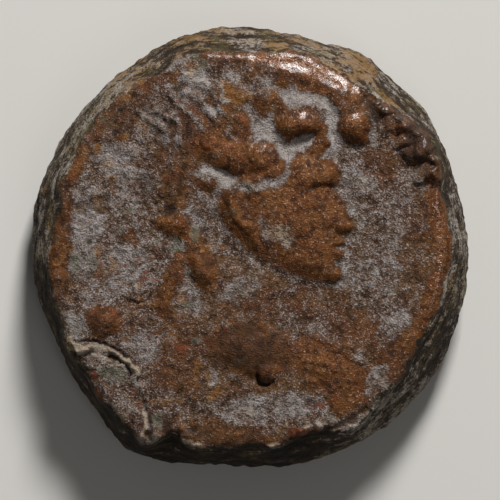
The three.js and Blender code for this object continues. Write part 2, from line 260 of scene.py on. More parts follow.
# Single strands and folds that stand out over the others: height, then (x, y, half width) points
STRAND_RIDGES = [
    (0.12, [(-3.5, 6.75, 0.12), (-3.2, 6.35, 0.2), (-2.85, 6.0, 0.2), (-2.5, 5.65, 0.2),
            (-2.2, 5.3, 0.2), (-2.02, 4.85, 0.18), (-1.95, 4.45, 0.14)]),
    (0.12, [(-4.0, 6.1, 0.12), (-3.65, 5.85, 0.16), (-3.35, 5.45, 0.16), (-3.12, 5.0, 0.16),
            (-3.05, 4.5, 0.14)]),
    (0.12, [(-4.85, 6.05, 0.14), (-4.55, 5.82, 0.2), (-4.15, 5.48, 0.2), (-3.8, 5.15, 0.17),
            (-3.65, 4.6, 0.14)]),
    (0.13, [(-2.9, 6.85, 0.14), (-2.4, 6.55, 0.18), (-2.0, 6.15, 0.18), (-1.7, 5.7, 0.16)]),
    (0.1, [(-2.3, 7.2, 0.14), (-1.75, 6.9, 0.18), (-1.4, 6.3, 0.16), (-1.2, 5.8, 0.14)]),
    (0.05, [(-4.6, 4.8, 0.2), (-4.35, 4.2, 0.26), (-4.2, 3.5, 0.26), (-4.15, 2.6, 0.2)]),
    (0.05, [(-3.6, 4.2, 0.2), (-3.4, 3.5, 0.26), (-3.35, 2.6, 0.26), (-3.3, 1.8, 0.2)]),
    (0.05, [(-2.8, 4.2, 0.2), (-2.75, 3.4, 0.26), (-2.65, 2.5, 0.26), (-2.6, 1.8, 0.2)]),
    (0.1, [(3.6, -4.35, 0.1), (4.3, -4.54, 0.12), (4.9, -4.83, 0.1)]),
    (0.1, [(3.8, -4.0, 0.1), (4.45, -4.27, 0.12), (4.95, -4.55, 0.1)]),
    (0.08, [(2.4, -3.75, 0.1), (3.2, -3.95, 0.12), (3.7, -4.25, 0.1)]),
    (0.03, [(2.6, -5.3, 0.1), (3.5, -5.5, 0.14), (4.3, -5.9, 0.1)]),
    (0.04, [(2.2, -4.9, 0.1), (3.2, -5.0, 0.14), (4.1, -5.3, 0.1)]),
]

# Hollows along the undersides of the locks, filled with chalky minerals: (x, y, half width) points
HOLLOWS = [
    [(-2.3, 3.2, 0.25), (-1.5, 3.2, 0.4), (-0.6, 2.8, 0.42), (0.4, 2.65, 0.34), (1.25, 2.95, 0.34),
     (1.65, 3.7, 0.36), (1.45, 4.5, 0.4), (0.95, 5.2, 0.3)],
    [(1.6, 4.35, 0.25), (2.2, 4.55, 0.36), (2.6, 4.8, 0.25)],
    [(3.5, 4.7, 0.2), (3.6, 5.4, 0.25), (3.3, 6.2, 0.3), (2.3, 6.5, 0.3), (1.5, 6.45, 0.25)],
]
HOLLOW_DEPTH = 0.1

# Wear has spread the foot of every form by this much. It flattens what stands higher than the next
# value over the field, and leaves this share of the rest.
WORN_EDGE = 0.12
WORN_ABOVE = 0.55
WORN_SHARE = 0.6
WORN_ROUNDING = 0.15
CREASE_FILL = 0.12
FORM_SOFTENING = 0.1
FACE_SOFTENING = 0.035

# Lumps of dark metal along the edge at the upper right: (x, y, radius, height)
LUMPS = [
    (5.25, 6.8, 0.4, 0.2),
    (5.7, 6.4, 0.42, 0.26),
    (6.15, 5.95, 0.48, 0.36),
    (6.7, 5.3, 0.56, 0.46),
    (7.15, 4.8, 0.4, 0.34),
    (7.5, 4.3, 0.62, 0.52),
    (8.05, 3.55, 0.62, 0.56),
    (6.0, 5.35, 0.36, 0.18),
    (6.55, 4.6, 0.46, 0.28),
    (7.0, 3.95, 0.44, 0.28),
    (7.5, 3.3, 0.42, 0.26),
    (-4.25, -8.2, 0.55, 0.5),  # and a knob at the stub
]
LUMP_ROUNDNESS = 0.8  # a half gives round beads, and one gives soft mounds

# The pit in the bust and the plug of corrosion that stands in it: (x, y, half length, half width, turn).
# The open crescent of the pit is painted dark as the plug's shadow.
PIT = (0.66, -5.54, 0.54, 0.42, 40)
PIT_DEPTH = 0.25
PLUG = (0.8, -5.38, 0.52, 0.42, 20)
PLUG_HEIGHT = 0.24

# The cracks at the stub and along the lower right edge: lips of chalky crust, and dark lines
CRUST_LIPS = [
    (0.24, [(-8.4, -4.0, 0.35), (-7.9, -4.25, 0.4), (-7.3, -4.4, 0.22), (-6.7, -4.3, 0.14),
            (-6.2, -4.35, 0.11), (-5.8, -4.58, 0.11), (-5.4, -4.85, 0.12), (-5.1, -5.15, 0.15),
            (-4.95, -5.4, 0.2)]),
    (0.1, [(-6.5, -4.85, 0.07), (-5.95, -4.87, 0.1), (-5.6, -5.05, 0.09), (-5.35, -5.3, 0.07)]),
    (0.08, [(-4.95, -5.6, 0.1), (-4.85, -5.9, 0.08)]),
    (0.14, [(-4.62, -7.05, 0.09), (-4.55, -7.4, 0.12), (-4.6, -7.8, 0.12), (-4.7, -8.2, 0.16),
            (-4.7, -8.6, 0.16)]),
    (0.18, [(2.2, -7.9, 0.14), (2.6, -7.75, 0.2), (2.95, -7.6, 0.16)]),
    (0.22, [(2.3, -8.6, 0.14), (3.3, -8.35, 0.22), (4.2, -7.95, 0.2), (5.1, -7.35, 0.24),
            (5.9, -6.65, 0.18), (6.6, -5.9, 0.2)]),
    (0.1, [(-6.9, -4.65, 0.08), (-6.5, -4.68, 0.12), (-6.2, -4.6, 0.08)]),
    (0.1, [(-3.0, -8.3, 0.12), (-2.0, -8.6, 0.16), (-0.9, -8.65, 0.16), (0.4, -8.6, 0.14),
           (1.2, -8.5, 0.12)]),
]
LIP_SPREAD = 0.02
LIP_BLOBS = (0.3, 47)  # size and seed of the blobs that break them up, and of the grains on those
LIP_GRAINS = (0.14, 49)
CRACK_DEPTH = 0.18
CRACK_SPREAD = 0.03
CRACKS = [
    [(-7.7, -4.0, 0.03), (-6.6, -4.05, 0.05), (-6.0, -4.24, 0.05), (-5.45, -4.6, 0.05),
     (-4.95, -5.05, 0.04)],
    [(-6.3, -4.62, 0.03), (-5.8, -4.74, 0.06), (-5.45, -5.0, 0.06), (-5.2, -5.28, 0.04)],
    [(-4.9, -5.6, 0.03), (-4.8, -6.2, 0.04), (-4.6, -6.7, 0.04), (-4.5, -7.1, 0.05)],
    [(-4.4, -7.2, 0.06), (-4.32, -7.7, 0.1), (-4.4, -8.2, 0.1)],
    [(-5.5, -2.13, 0.02), (-5.3, -2.26, 0.03), (-5.0, -2.32, 0.03), (-4.85, -2.38, 0.02),
     (-4.6, -2.28, 0.02)],
    [(1.7, -8.25, 0.05), (2.6, -8.05, 0.1), (3.4, -7.8, 0.13), (4.1, -7.45, 0.12), (5.0, -6.9, 0.08)],
]

# Patches of other minerals on the obverse, and of dark patina and painted shade: (x, y, half length, half
# width, turn, strength)
CHALK_PATCHES = [
    (0.65, 5.1, 0.9, 0.55, 80, 0.65),  # between the locks
    (2.2, 4.5, 0.8, 0.5, 35, 0.5),
    (2.2, 6.5, 1.2, 0.6, -5, 0.6),
    (-2.4, 1.3, 0.5, 0.9, 15, 0.5),
    (3.6, 4.9, 0.3, 0.9, 0, 0.4),
    (-1.08, 6.5, 0.26, 0.46, 35, 1.0),  # pale plates
    (-1.7, 6.02, 0.38, 0.28, -20, 1.0),
    (-0.6, 7.4, 0.4, 0.3, 0, 0.8),
    (-2.5, 7.5, 0.9, 0.45, 0, 0.8),
    (-1.6, -5.6, 0.4, 0.55, 20, 0.4),
    (0.2, 7.0, 1.5, 0.7, 0, 0.35),
    (1.1, 0.75, 1.0, 0.7, -50, 2.4),  # on the cheek, which stands high enough to thin it
    (3.3, 0.6, 0.3, 0.4, 0, 0.3),
    (-7.2, 0.9, 1.1, 2.6, 0, 0.6),  # the left field
    (-5.9, 3.6, 0.9, 1.5, 20, 0.6),
    (-5.4, -1.0, 1.6, 1.4, 0, 0.4),
    (-5.15, -1.15, 0.4, 0.25, 0, 1.0),
    (-2.8, -2.2, 0.7, 1.0, 20, 0.4),
    (-0.4, -1.7, 1.4, 0.6, 25, 0.35),
    (5.2, -1.3, 1.7, 2.0, 0, 0.15),  # the right field
    (4.8, 2.2, 0.8, 1.7, 10, 0.3),
    (6.2, -3.3, 0.6, 1.3, -25, 0.4),
    (1.0, -6.8, 2.4, 0.8, 5, 0.5),
    (5.5, -5.8, 0.5, 1.1, -25, 0.7),
    (-7.6, -3.4, 0.5, 0.7, 0, 0.6),
    (-4.4, -4.4, 0.8, 0.6, 0, 0.4),
    (-3.4, 4.3, 0.5, 0.8, 0, 0.4),
    (-4.3, -8.3, 0.45, 0.5, 0, 0.8),  # the knob at the stub
]
EARTH_PATCHES = [
    (-4.7, 5.3, 0.6, 0.4, 0, 0.7),
    (-0.65, 6.6, 0.8, 0.6, -20, 0.9),
    (-0.2, 7.4, 0.5, 0.5, 0, 0.6),
    (-1.65, -6.4, 0.5, 0.42, 0, 0.8),
    (-2.7, 7.9, 0.5, 0.6, 30, 0.7),
    (4.25, -2.35, 0.24, 0.17, -40, 0.9),
    (1.6, -7.65, 0.8, 0.25, 15, 0.6),
    (1.2, 0.8, 0.9, 0.6, -50, 0.55),
    (3.0, -5.0, 2.2, 1.0, -22, 0.3),  # the ochre fold
    (5.6, -5.0, 0.7, 1.4, -30, 0.3),
    (-6.0, 3.6, 0.5, 0.7, 0, 0.4),
    (-5.4, -1.5, 0.35, 0.28, 0, 0.8),
    (-7.25, 1.75, 0.35, 0.35, 0, 0.8),
    (-6.36, 1.8, 0.45, 0.4, 0, 0.9),
]
GREEN_PATCHES = [
    (-6.0, -5.35, 0.85, 0.5, -20, 0.8),
    (-4.15, -7.5, 0.4, 0.6, 0, 0.8),
    (-4.3, -8.5, 0.55, 0.55, 0, 0.6),
    (3.4, -7.4, 0.8, 0.35, 25, 0.6),
    (-7.6, -3.5, 0.6, 0.8, 0, 0.5),
    (5.6, 4.6, 0.7, 0.9, 0, 0.4),
    (-5.6, 6.0, 1.6, 0.4, 45, 0.5),  # the groove at the upper left
    (-4.4, 5.6, 1.2, 1.6, 40, 0.35),
]
RED_PATCHES = [
    (-6.8, -5.4, 0.24, 0.24, 0, 1.0),
    (-7.1, -5.6, 0.3, 0.7, 35, 0.6),
    (-6.75, -4.6, 0.14, 0.12, 0, 0.7),
    (2.2, -8.0, 0.95, 0.28, 5, 1.0),
    (2.8, -6.92, 0.4, 0.16, 0, 0.9),
    (3.8, -6.4, 0.6, 0.5, 0, 0.45),
    (-1.25, -3.45, 0.18, 0.12, 30, 0.8),
    (-0.62, -3.47, 0.18, 0.12, -30, 0.8),
    (-4.98, -0.5, 0.24, 0.15, 0, 0.9),
    (-4.6, -1.0, 0.26, 0.15, -30, 0.9),
    (-4.68, -1.3, 0.3, 0.15, 0, 1.0),
    (-4.2, -1.45, 0.22, 0.15, -20, 0.9),
    (-3.05, -4.4, 0.55, 0.4, 30, 0.8),
    (-3.4, 3.15, 0.28, 0.26, 0, 0.7),
    (-0.5, 5.2, 0.6, 0.7, 0, 0.5),  # the reddish roots of the locks
    (-1.6, 4.5, 1.1, 0.5, -10, 0.5),
    (-5.95, -2.65, 0.5, 0.14, -25, 0.6),
    (-6.35, -3.15, 0.9, 0.7, -35, 0.15),  # the worn symbol
    (-4.65, -6.75, 0.14, 0.1, 0, 0.8),
    (-1.9, -1.0, 0.6, 1.0, 10, 0.4),
    (7.9, 0.0, 0.4, 2.6, 0, 0.2),
]
# Dark patina, as on the lumps and the dark fold, and painted shade
DARK_PATINA_AND_SHADE_PATCHES = [
    (5.9, 6.1, 1.4, 0.8, -42, 0.75),  # the lumps
    (7.4, 4.4, 1.8, 1.1, -62, 0.8),
    (2.36, 3.87, 0.26, 0.26, 0, 0.9),  # the end of the hooked lock
    (-3.3, 2.2, 0.5, 0.9, 0, 0.4),
    (-4.5, 2.6, 0.3, 1.4, 0, 0.5),
    (-0.1, -4.3, 2.5, 1.45, -6, 0.72),  # the dark fold
    (-5.2, 5.9, 2.2, 0.7, 42, 0.35),  # the groove at the upper left
    (-3.6, 5.0, 1.3, 1.6, 0, 0.15),
    (1.72, -2.95, 0.12, 0.1, 0, 0.7),
    # painted shadow of the crack beside the stub
    (-3.6, -7.7, 0.4, 0.4, 0, 0.8),
    (-2.1, -0.8, 0.7, 1.2, 0, 0.4),
    (-6.4, -3.2, 0.9, 0.7, -35, 0.55),
    # Painted shade along the rim at the left, the bottom and the lower right, which face away from the light
    (-8.3, 0.5, 0.7, 3.4, 0, 0.4),  # the rim at the left and the bottom
    (-1.5, -8.2, 3.4, 0.6, 0, 0.45),
    (-6.6, -7.0, 1.8, 0.7, -50, 0.4),
    (7.2, -4.9, 2.2, 0.6, 55, 0.35),
]
# Three of them also lie about in spots: the rows above, the spots' size, how far apart, and a seed
MINERALS = {
    "earth": (EARTH_PATCHES, 0.6, 0.4, 63),
    "green": (GREEN_PATCHES, 0.8, 0.6, 65),
    "red": (RED_PATCHES, 0.36, 0.75, 69),
}
# Where the metal is bare although it isn't high
BARE_PATCHES = [
    (-1.5, -7.8, 1.8, 0.6, -5, 0.5),
    (0.6, -8.2, 1.2, 0.5, 0, 0.5),
    (-5.4, -7.9, 0.8, 0.5, -30, 0.6),
    (-7.0, -6.2, 0.45, 1.4, 32, 0.8),
    (0.2, -2.6, 1.6, 0.7, 0, 0.45),
    (2.8, -2.2, 2.2, 0.8, 0, 0.45),
    (7.3, -0.4, 1.1, 3.4, 0, 0.35),
    (4.6, -3.6, 2.0, 1.5, -30, 0.45),
    (5.6, 3.6, 1.0, 1.2, 0, 0.35),
    (-7.7, 3.6, 0.6, 1.2, -25, 0.8),
    (6.2, -5.2, 1.2, 2.2, -38, 0.6),
    (-3.4, -5.0, 1.8, 1.4, 0, 0.25),
    (-4.3, 7.0, 1.8, 0.6, 28, 0.4),
    (-5.6, 5.4, 0.8, 1.2, -40, 0.35),
    (0.2, 7.6, 2.6, 0.7, -5, 0.2),
    (-3.4, 3.0, 1.2, 2.6, 0, 0.25),
    (-5.6, -3.0, 1.4, 1.0, 0, 0.35),
    (-3.2, -2.4, 1.2, 2.2, 0, 0.4),
    (4.4, 6.6, 1.2, 0.7, -40, 0.5),
]
# Where it is polished enough to shine: the top of the border, a fine line along the right rim, and less so
# the lumps, the knob and the locks. Where the polish is strongest, a lighter copper is painted on as a
# highlight.
POLISH_SPREAD = 0.1
POLISH_AND_PAINTED_HIGHLIGHTS = [
    (1.0, [(0.2, 8.2, 0.3), (1.2, 8.2, 0.45), (2.2, 7.95, 0.55), (3.2, 7.6, 0.55), (4.0, 7.2, 0.45),
           (4.8, 6.75, 0.3)]),
    (0.6, [(-2.0, 8.3, 0.2), (-1.0, 8.35, 0.25), (0.2, 8.3, 0.25)]),
    (0.7, [(5.3, 6.7, 0.45), (6.4, 5.5, 0.7), (7.3, 4.4, 0.75), (7.8, 3.5, 0.6)]),
    (0.8, [(-4.3, -8.0, 0.25), (-4.2, -8.3, 0.25)]),
    (1.0, [(8.0, 2.9, 0.02), (8.12, 1.6, 0.08), (8.22, 0.2, 0.08), (8.1, -1.4, 0.05), (7.8, -2.6, 0.0)]),
    (0.75, [(1.2, 5.55, 0.2), (1.9, 5.85, 0.28), (2.75, 5.75, 0.2)]),
    (0.7, [(0.2, 4.45, 0.25), (0.9, 4.4, 0.22)]),
    (0.7, [(4.1, 6.05, 0.28), (4.7, 5.85, 0.22)]),
]

# How far noise moves the drawn shapes, in millimetres, the size of its blobs, and a seed
FORM_WANDER = (0.13, 0.65, 17)
FACE_WANDER = (0.025, 0.7, 3)
PATCH_WANDER = (0.24, 0.6, 29)
CRACK_WANDER = (0.06, 0.25, 43)

# Noise worked into the mesh: the size of its blobs in millimetres, how many finer ones they carry, and a
# seed. Then how far some of it stands out, in millimetres.
WEATHER = {
    "face edge": (0.9, 3, 11),
    "flan edge": (1.6, 2, 23),
    "rim": (0.9, 3, 67),
    "swells": (1.4, 2, 31),
    "grit": (0.26, 3, 41),
    "crumbs": (0.6, 3, 45),
    "wear": (0.5, 3, 37),
    "chalk": (1.0, 3, 61),
    "side streaks": (0.42, 3, 71),
    "side blotches": (1.3, 3, 83),
    "side crumbs": (0.3, 3, 97),
    "reverse crumbs": (0.5, 3, 113),
    "reverse wear": (1.0, 4, 127),
    "reverse earth": (1.6, 3, 131),
    "reverse green": (1.3, 3, 137),
    "reverse red": (0.9, 3, 139),
}
STANDS_OUT = {
    "face edge": 0.035,
    "flan edge": 0.035,
    "swells": 0.025,
    "grit": 0.028,
    "crumbs": 0.06,
    "side streaks": 0.045,
    "side blotches": 0.03,
    "side crumbs": 0.055,
    "reverse crumbs": 0.03,
}
EDGE_CRUMBLING = 0.08  # added to the face's edge round the crumbled part
CRUMBLED_EDGE = (265, 95)  # its direction and half width
LEFT_FIELD = (2, -3)  # corrosion grows from this x to that one
SPOT_LEAST = 0.4  # how strong the strewn spots of mineral are, and what the left field adds
SPOT_MORE = 0.4

# A place is low where it lies under the mean of its surroundings, taken over this reach in millimetres.
LOW_REACH = 0.4
STRAND_REACH = 0.3

# What gathers chalk and what looks dark on the obverse: the most that each adds, and the values between
# which it grows. Darkness in the cracks and between the strands is painted shade.
CHALKY = {"low": (0.4, 0.01, 0.12), "strands": (0.4, 0.02, 0.1), "grit": (0.6, 0.4, 0.9)}
DARKER = {
    "cracks": (1.0, 0.2, 0.9),
    "pits": (0.6, 0.01, 0.05),
    "between strands": (0.4, 0.005, 0.03),
    "grit": (0.3, -0.4, -0.9),
}

# How thick the crust on the side is, and how much earth is in it: (direction, half width, share). The crust
# is thin at the left and bottom, which leaves the side darker there, partly as painted shade.
SIDE_CRUST = [
    (80, 40, 0.56),
    (48, 34, 0.34),
    (135, 45, 0.6),
    (178, 40, 0.3),
    (10, 40, 0.35),
    (340, 34, 0.25),
    (308, 28, 0.55),
]
SIDE_EARTH = [(66, 50, 0.58), (105, 30, 0.5), (140, 40, 0.35), (330, 50, 0.3)]

# Patterns on the side count this share of each millimetre round the coin, which draws them out into streaks.
# Rows of the side's mesh are about ROW_STEP apart.
SIDE_STREAK = 0.35
ROW_STEP = 0.12

# Corrosion pits, small and mostly in the left field: half of the radii lie near the small end.
PIT_COUNT = 900
PIT_RADII = (0.05, 0.24)
PIT_SHARE_DEPTH = 0.3  # of its radius
PITTED_LEFT = -3  # left of this x or below the next y all of them are kept, and elsewhere a share
PITTED_BELOW = -5.5
PITS_ELSEWHERE = 0.3
LARGE_PITS = [
    (-7.25, 1.75, 0.42),
    (-6.36, 1.8, 0.48),
    (-5.73, 0.67, 0.24),
    (-6.97, 0.34, 0.3),
    (-3.5, 1.65, 0.3),
]

# The reverse: a club in a wreath, worn down to the plane that the coin rests on
REVERSE_FIELD = 0.28
REVERSE_RIM_SHARE = 0.86
REVERSE_ROUND_SHARE = 0.955
CLUB = (0.55, [(0, -3.4, 0.5), (0, 0, 0.9), (0, 2.2, 1.25), (0, 3.0, 1.15)])
CLUB_KNOTS = [(-0.95, 1.2, 0.4), (0.95, 2.1, 0.42), (0.8, -0.3, 0.34), (-0.7, -1.5, 0.3)]
CLUB_KNOT_HEIGHT = 0.3
WREATH_RADIUS = 5.75
WREATH_LEAVES = 6
WREATH_START = -78
WREATH_END = 68
LEAF_HALF_LENGTH = 1.3
LEAF_HALF_WIDTH = 0.58
LEAF_SPREAD = 0.68
LEAF_TURN = 22
LEAF_HEIGHT = 0.36
STEM_HALF_WIDTH = 0.3
STEM_HEIGHT = 0.16

# How finely the mesh is made. A ring of a face has this many points more than the one inside it.
RING_GROWTH = 8
OBVERSE_RINGS = 124
WALL_POINTS = 480
SHOULDER_ROWS = 22  # from the obverse's edge to the widest line
TUCK_ROWS = 13  # from there to the reverse's edge
REVERSE_RINGS = 60
GRID_STEP = 0.04  # of the height map that the obverse is worked out on
GRID_HALF = 10.6

SEED = 7


# Shaping functions


def blend(a, b, share):
    return a * (1 - share) + b * share


def hump(distance, half_width):
    """1 at the middle of a window and 0 from its half width on."""
    return np.cos(np.clip(np.abs(distance) / half_width, 0, 1) * np.pi / 2) ** 2


def ease(low, high, value):
    """0 as far as low, 1 from high on, and smooth between them. High may be the smaller of the two."""
    share = np.clip((value - low) / (high - low), 0, 1)
    return share * share * (3 - 2 * share)


def swollen(radius, swells, angle):
    direction = np.degrees(angle)
    total = np.full(np.shape(angle), float(radius))
    for middle, half, out in swells:
        total += out * hump((direction - middle + 180) % 360 - 180, half)
    return total


def grain(points, cell, seed):
    """Smooth blobs about one cell across, from 0 to 1, the same on each run."""
    at = points / cell
    low = np.floor(at).astype(np.int64)
    between = ease(0, 1, at - low)
    total = np.zeros(points.shape[:-1])
    for corner in product((0, 1), repeat=3):
        key = low + np.array(corner)
        mixed = key[..., 0] * 73856093 ^ key[..., 1] * 19349663 ^ key[..., 2] * 83492791 ^ seed * 40503
        mixed = (mixed ^ (mixed >> 13)) * 1274126177 & 0x7FFFFFFF
        mixed = (mixed ^ (mixed >> 16)) & 0xFFFF
        weight = np.prod(np.where(np.array(corner) == 1, between, 1 - between), axis=-1)
        total += weight * mixed / 0xFFFF
    return total


def weathering(points, cell, octaves, seed):
    """Blobs of one cell with finer ones on them, about 0, mostly from -1 to 1."""
    total = 0
    strength = 1.0
    for octave in range(octaves):
        total = total + strength * (grain(points, cell / 2**octave, seed + octave) * 2 - 1)
        strength *= 0.55
    return total


def weathered(points, name):
    return weathering(points, *WEATHER[name])


def on_plane(x, y):
    """Places at height 0, to work noise out at."""
    return np.stack([x, y, np.zeros_like(x)], axis=-1)


def spline(points, steps, closed=False):
    """Points along a smooth line through the ones given."""
    known = np.array(points, dtype=float)
    count = len(known)
    spans = count if closed else count - 1
    line = []
    for span in range(spans):
        around = [span - 1, span, span + 1, span + 2]
        if closed:
            a, b, c, d = (known[i % count] for i in around)
        else:
            a, b, c, d = (known[min(max(i, 0), count - 1)] for i in around)
        for step in range(steps):
            t = step / steps
            bend = (2 * a - 5 * b + 4 * c - d) * t**2 + (3 * b - a - 3 * c + d) * t**3
            line.append((2 * b + (c - a) * t + bend) / 2)
    if not closed:
        line.append(known[-1])
    return np.array(line)


def depth_inside(points, x, y):
    """How deep a place lies inside a smooth closed outline; negative outside."""
    outline = spline(points, 4, closed=True)
    nearest = np.full(x.shape, np.inf)
    inside = np.zeros(x.shape, dtype=bool)
    for start, end in zip(outline, np.roll(outline, -1, axis=0)):
        along = end - start
        share = ((x - start[0]) * along[0] + (y - start[1]) * along[1]) / (along @ along)
        share = np.clip(share, 0, 1)
        gap = np.hypot(x - start[0] - share * along[0], y - start[1] - share * along[1])
        nearest = np.minimum(nearest, gap)
        if start[1] != end[1]:
            crosses = (start[1] > y) != (end[1] > y)
            inside ^= crosses & (x < start[0] + along[0] * (y - start[1]) / along[1])
    return np.where(inside, nearest, -nearest)


def pillow(depth, rounding, height):
    """A form that rises in a worn, rounded edge, which starts a little outside its outline."""
    rise = np.clip((depth + WORN_EDGE) / (rounding + WORN_EDGE), 0, 1)
    return height * np.sin(rise * np.pi / 2)


def ridge(points, x, y, spread=0.0):
    """1 along the middle of a smooth line of changing half width, rounding off to 0 at its sides."""
    line = spline(points, 5)
    best = np.zeros(x.shape)
    for start, end in zip(line[:-1], line[1:]):
        along = end[:2] - start[:2]
        share = ((x - start[0]) * along[0] + (y - start[1]) * along[1]) / max(along @ along, 1e-9)
        share = np.clip(share, 0, 1)
        gap = np.hypot(x - start[0] - share * along[0], y - start[1] - share * along[1])
        half = start[2] + share * (end[2] - start[2]) + spread
        best = np.maximum(best, 1 - (gap / half) ** 2)
    return np.clip(best, 0, 1)


def footed(form):
    """A rounded form with a soft, filled foot instead of a sharp one."""
    return form * ease(-0.05, 0.35, form)


def oval(x, y, middle_x, middle_y, half_length, half_width, turn):
    """1 at the middle of an oval and 0 at its edge."""
    angle = math.radians(turn)
    dx = x - middle_x
    dy = y - middle_y
    along = (dx * math.cos(angle) + dy * math.sin(angle)) / half_length
    across = (dy * math.cos(angle) - dx * math.sin(angle)) / half_width
    return np.clip(1 - along**2 - across**2, 0, 1)


def patches(rows, x, y):
    total = np.zeros(x.shape)
    for *place, strength in rows:
        total = np.maximum(total, strength * ease(0, 0.8, oval(x, y, *place)))
    return total


def wandered(x, y, reach, cell, seed):
    """Places moved about by noise, so that drawn shapes come out as uneven as worn or corroded ones."""
    place = on_plane(x, y)
    moved_x = x + reach * weathering(place, cell, 3, seed)
    moved_y = y + reach * weathering(place, cell, 3, seed + 7)
    return moved_x, moved_y


def blend_up(a, b, fillet):
    """The larger of two heights, with the crease between them filled over a width of fillet."""
    near = np.clip(fillet - np.abs(a - b), 0, None) / fillet
    return np.maximum(a, b) + near * near * fillet / 4


def softened(field, reach):
    """A height map blurred over a reach in millimetres."""
    half = int(round(2.5 * reach / GRID_STEP))
    kernel = np.exp(-0.5 * (np.arange(-half, half + 1) * GRID_STEP / reach) ** 2)
    kernel /= kernel.sum()
    for axis in (0, 1):
        padded = np.pad(field, [(half, half) if a == axis else (0, 0) for a in (0, 1)], mode="edge")
        length = field.shape[axis]
        field = sum(
            weight * np.take(padded, range(i, i + length), axis=axis) for i, weight in enumerate(kernel)
        )
    return field


# The outline of the coin at each direction


def face_radius(angle):
    place = on_plane(np.cos(angle) * FACE_RADIUS, np.sin(angle) * FACE_RADIUS)
    middle, half = CRUMBLED_EDGE
    crumbling = ease(0.2, 0.9, hump(np.degrees(angle) - middle, half)) * EDGE_CRUMBLING
    ragged = weathered(place, "face edge") * (STANDS_OUT["face edge"] + crumbling)
    return swollen(FACE_RADIUS, FACE_SWELLS, angle) + ragged


def flan_radius(angle):
    place = on_plane(np.cos(angle) * FLAN_RADIUS, np.sin(angle) * FLAN_RADIUS)
    ragged = weathered(place, "flan edge") * STANDS_OUT["flan edge"]
    return swollen(FLAN_RADIUS, FLAN_SWELLS, angle) + ragged


def reverse_radius(angle):
    return flan_radius(angle) - REVERSE_TUCK


# The obverse, worked out on a height map over the whole face


def thirds(points):
    return [(FACE_LINE + forward * FACE_THIRD, CHIN_HEIGHT + up * FACE_THIRD) for forward, up in points]


def calm_face(x, y):
    """The general face, with its worn features."""
    depth = depth_inside(thirds(PROFILE), x, y)
    features = np.zeros(x.shape)
    for forward, up, half_length, half_width, turn, height in FACE_FORMS:
        middle = thirds([(forward, up)])[0]
        form = oval(x, y, *middle, half_length * FACE_THIRD, half_width * FACE_THIRD, turn)
        features += height * form * ease(0, 0.5, form)
    for line, half, height in FACE_LINES:
        features += height * ridge([(*place, half) for place in thirds(line)], x, y)
    under_hair = 1 - (1 - HAIRLINE_SHARE) * ease(*HAIRLINE, y)
    return pillow(depth, FACE_ROUNDING, FACE_HEIGHT) * under_hair + features * ease(-0.1, 0.25, depth)


def combed_strands(x, y):
    radius = np.hypot(x - STRAND_CENTRE[0], y - STRAND_CENTRE[1])
    middle = (STRAND_FIRST_RADIUS + STRAND_LAST_RADIUS) / 2
    shown = ease(0, 0.5, hump(radius - middle, middle - STRAND_FIRST_RADIUS + STRAND_SPACING))
    return STRAND_HEIGHT * shown * np.cos(2 * np.pi * (radius - STRAND_FIRST_RADIUS) / STRAND_SPACING)


def worn_forms(x, y):
    """The hair, neck, dress and symbol: their height over the field, and how bare they are."""
    height = np.zeros(x.shape)
    bare = np.zeros(x.shape)
    for outline, rounding, top, bared in PILLOWS:
        depth = depth_inside(outline, x, y)
        form = pillow(depth, rounding, top)
        bare = np.maximum(bare, bared * ease(0.3, 0.9, form / top))
        if outline is HAIR:
            form = form + combed_strands(x, y) * ease(0, 0.4, depth)
        height = blend_up(height, form, CREASE_FILL)
    for *place, top, bared in DOMES:
        form = footed(oval(x, y, *place))
        bare = np.maximum(bare, bared * ease(0.05, 0.75, form))
        height = blend_up(height, top * form, CREASE_FILL)
    for top, bared, points in LOCKS:
        form = footed(ridge(points, x, y, WORN_EDGE))
        bare = np.maximum(bare, bared * ease(0.15, 0.75, form))
        height = blend_up(height, top * form, CREASE_FILL)
    return softened(height, FORM_SOFTENING), bare


def struck_relief(x, y):
    """The worn design: its height over the field, how bare it is, and its chalky hollows and strands."""
    drawn = wandered(x, y, *FORM_WANDER)
    height, bare = worn_forms(*drawn)
    strands = np.zeros(x.shape)
    for top, points in STRAND_RIDGES:
        strands = np.maximum(strands, top * footed(ridge(points, *drawn, STRAND_SPREAD)))
    height += strands
    bare -= 3 * strands
    face = softened(calm_face(*wandered(x, y, *FACE_WANDER)), FACE_SOFTENING)
    bare = np.maximum(bare, ease(0.2, 0.75, face / FACE_HEIGHT))
    height = blend_up(height, face, CREASE_FILL)
    hollows = strongest([(1.0, points) for points in HOLLOWS], *drawn)
    height -= HOLLOW_DEPTH * hollows
    bare -= 0.8 * hollows
    over = height - WORN_ABOVE
    over = (over + np.hypot(over, WORN_ROUNDING)) / 2
    return height - (1 - WORN_SHARE) * over, bare, hollows, strands


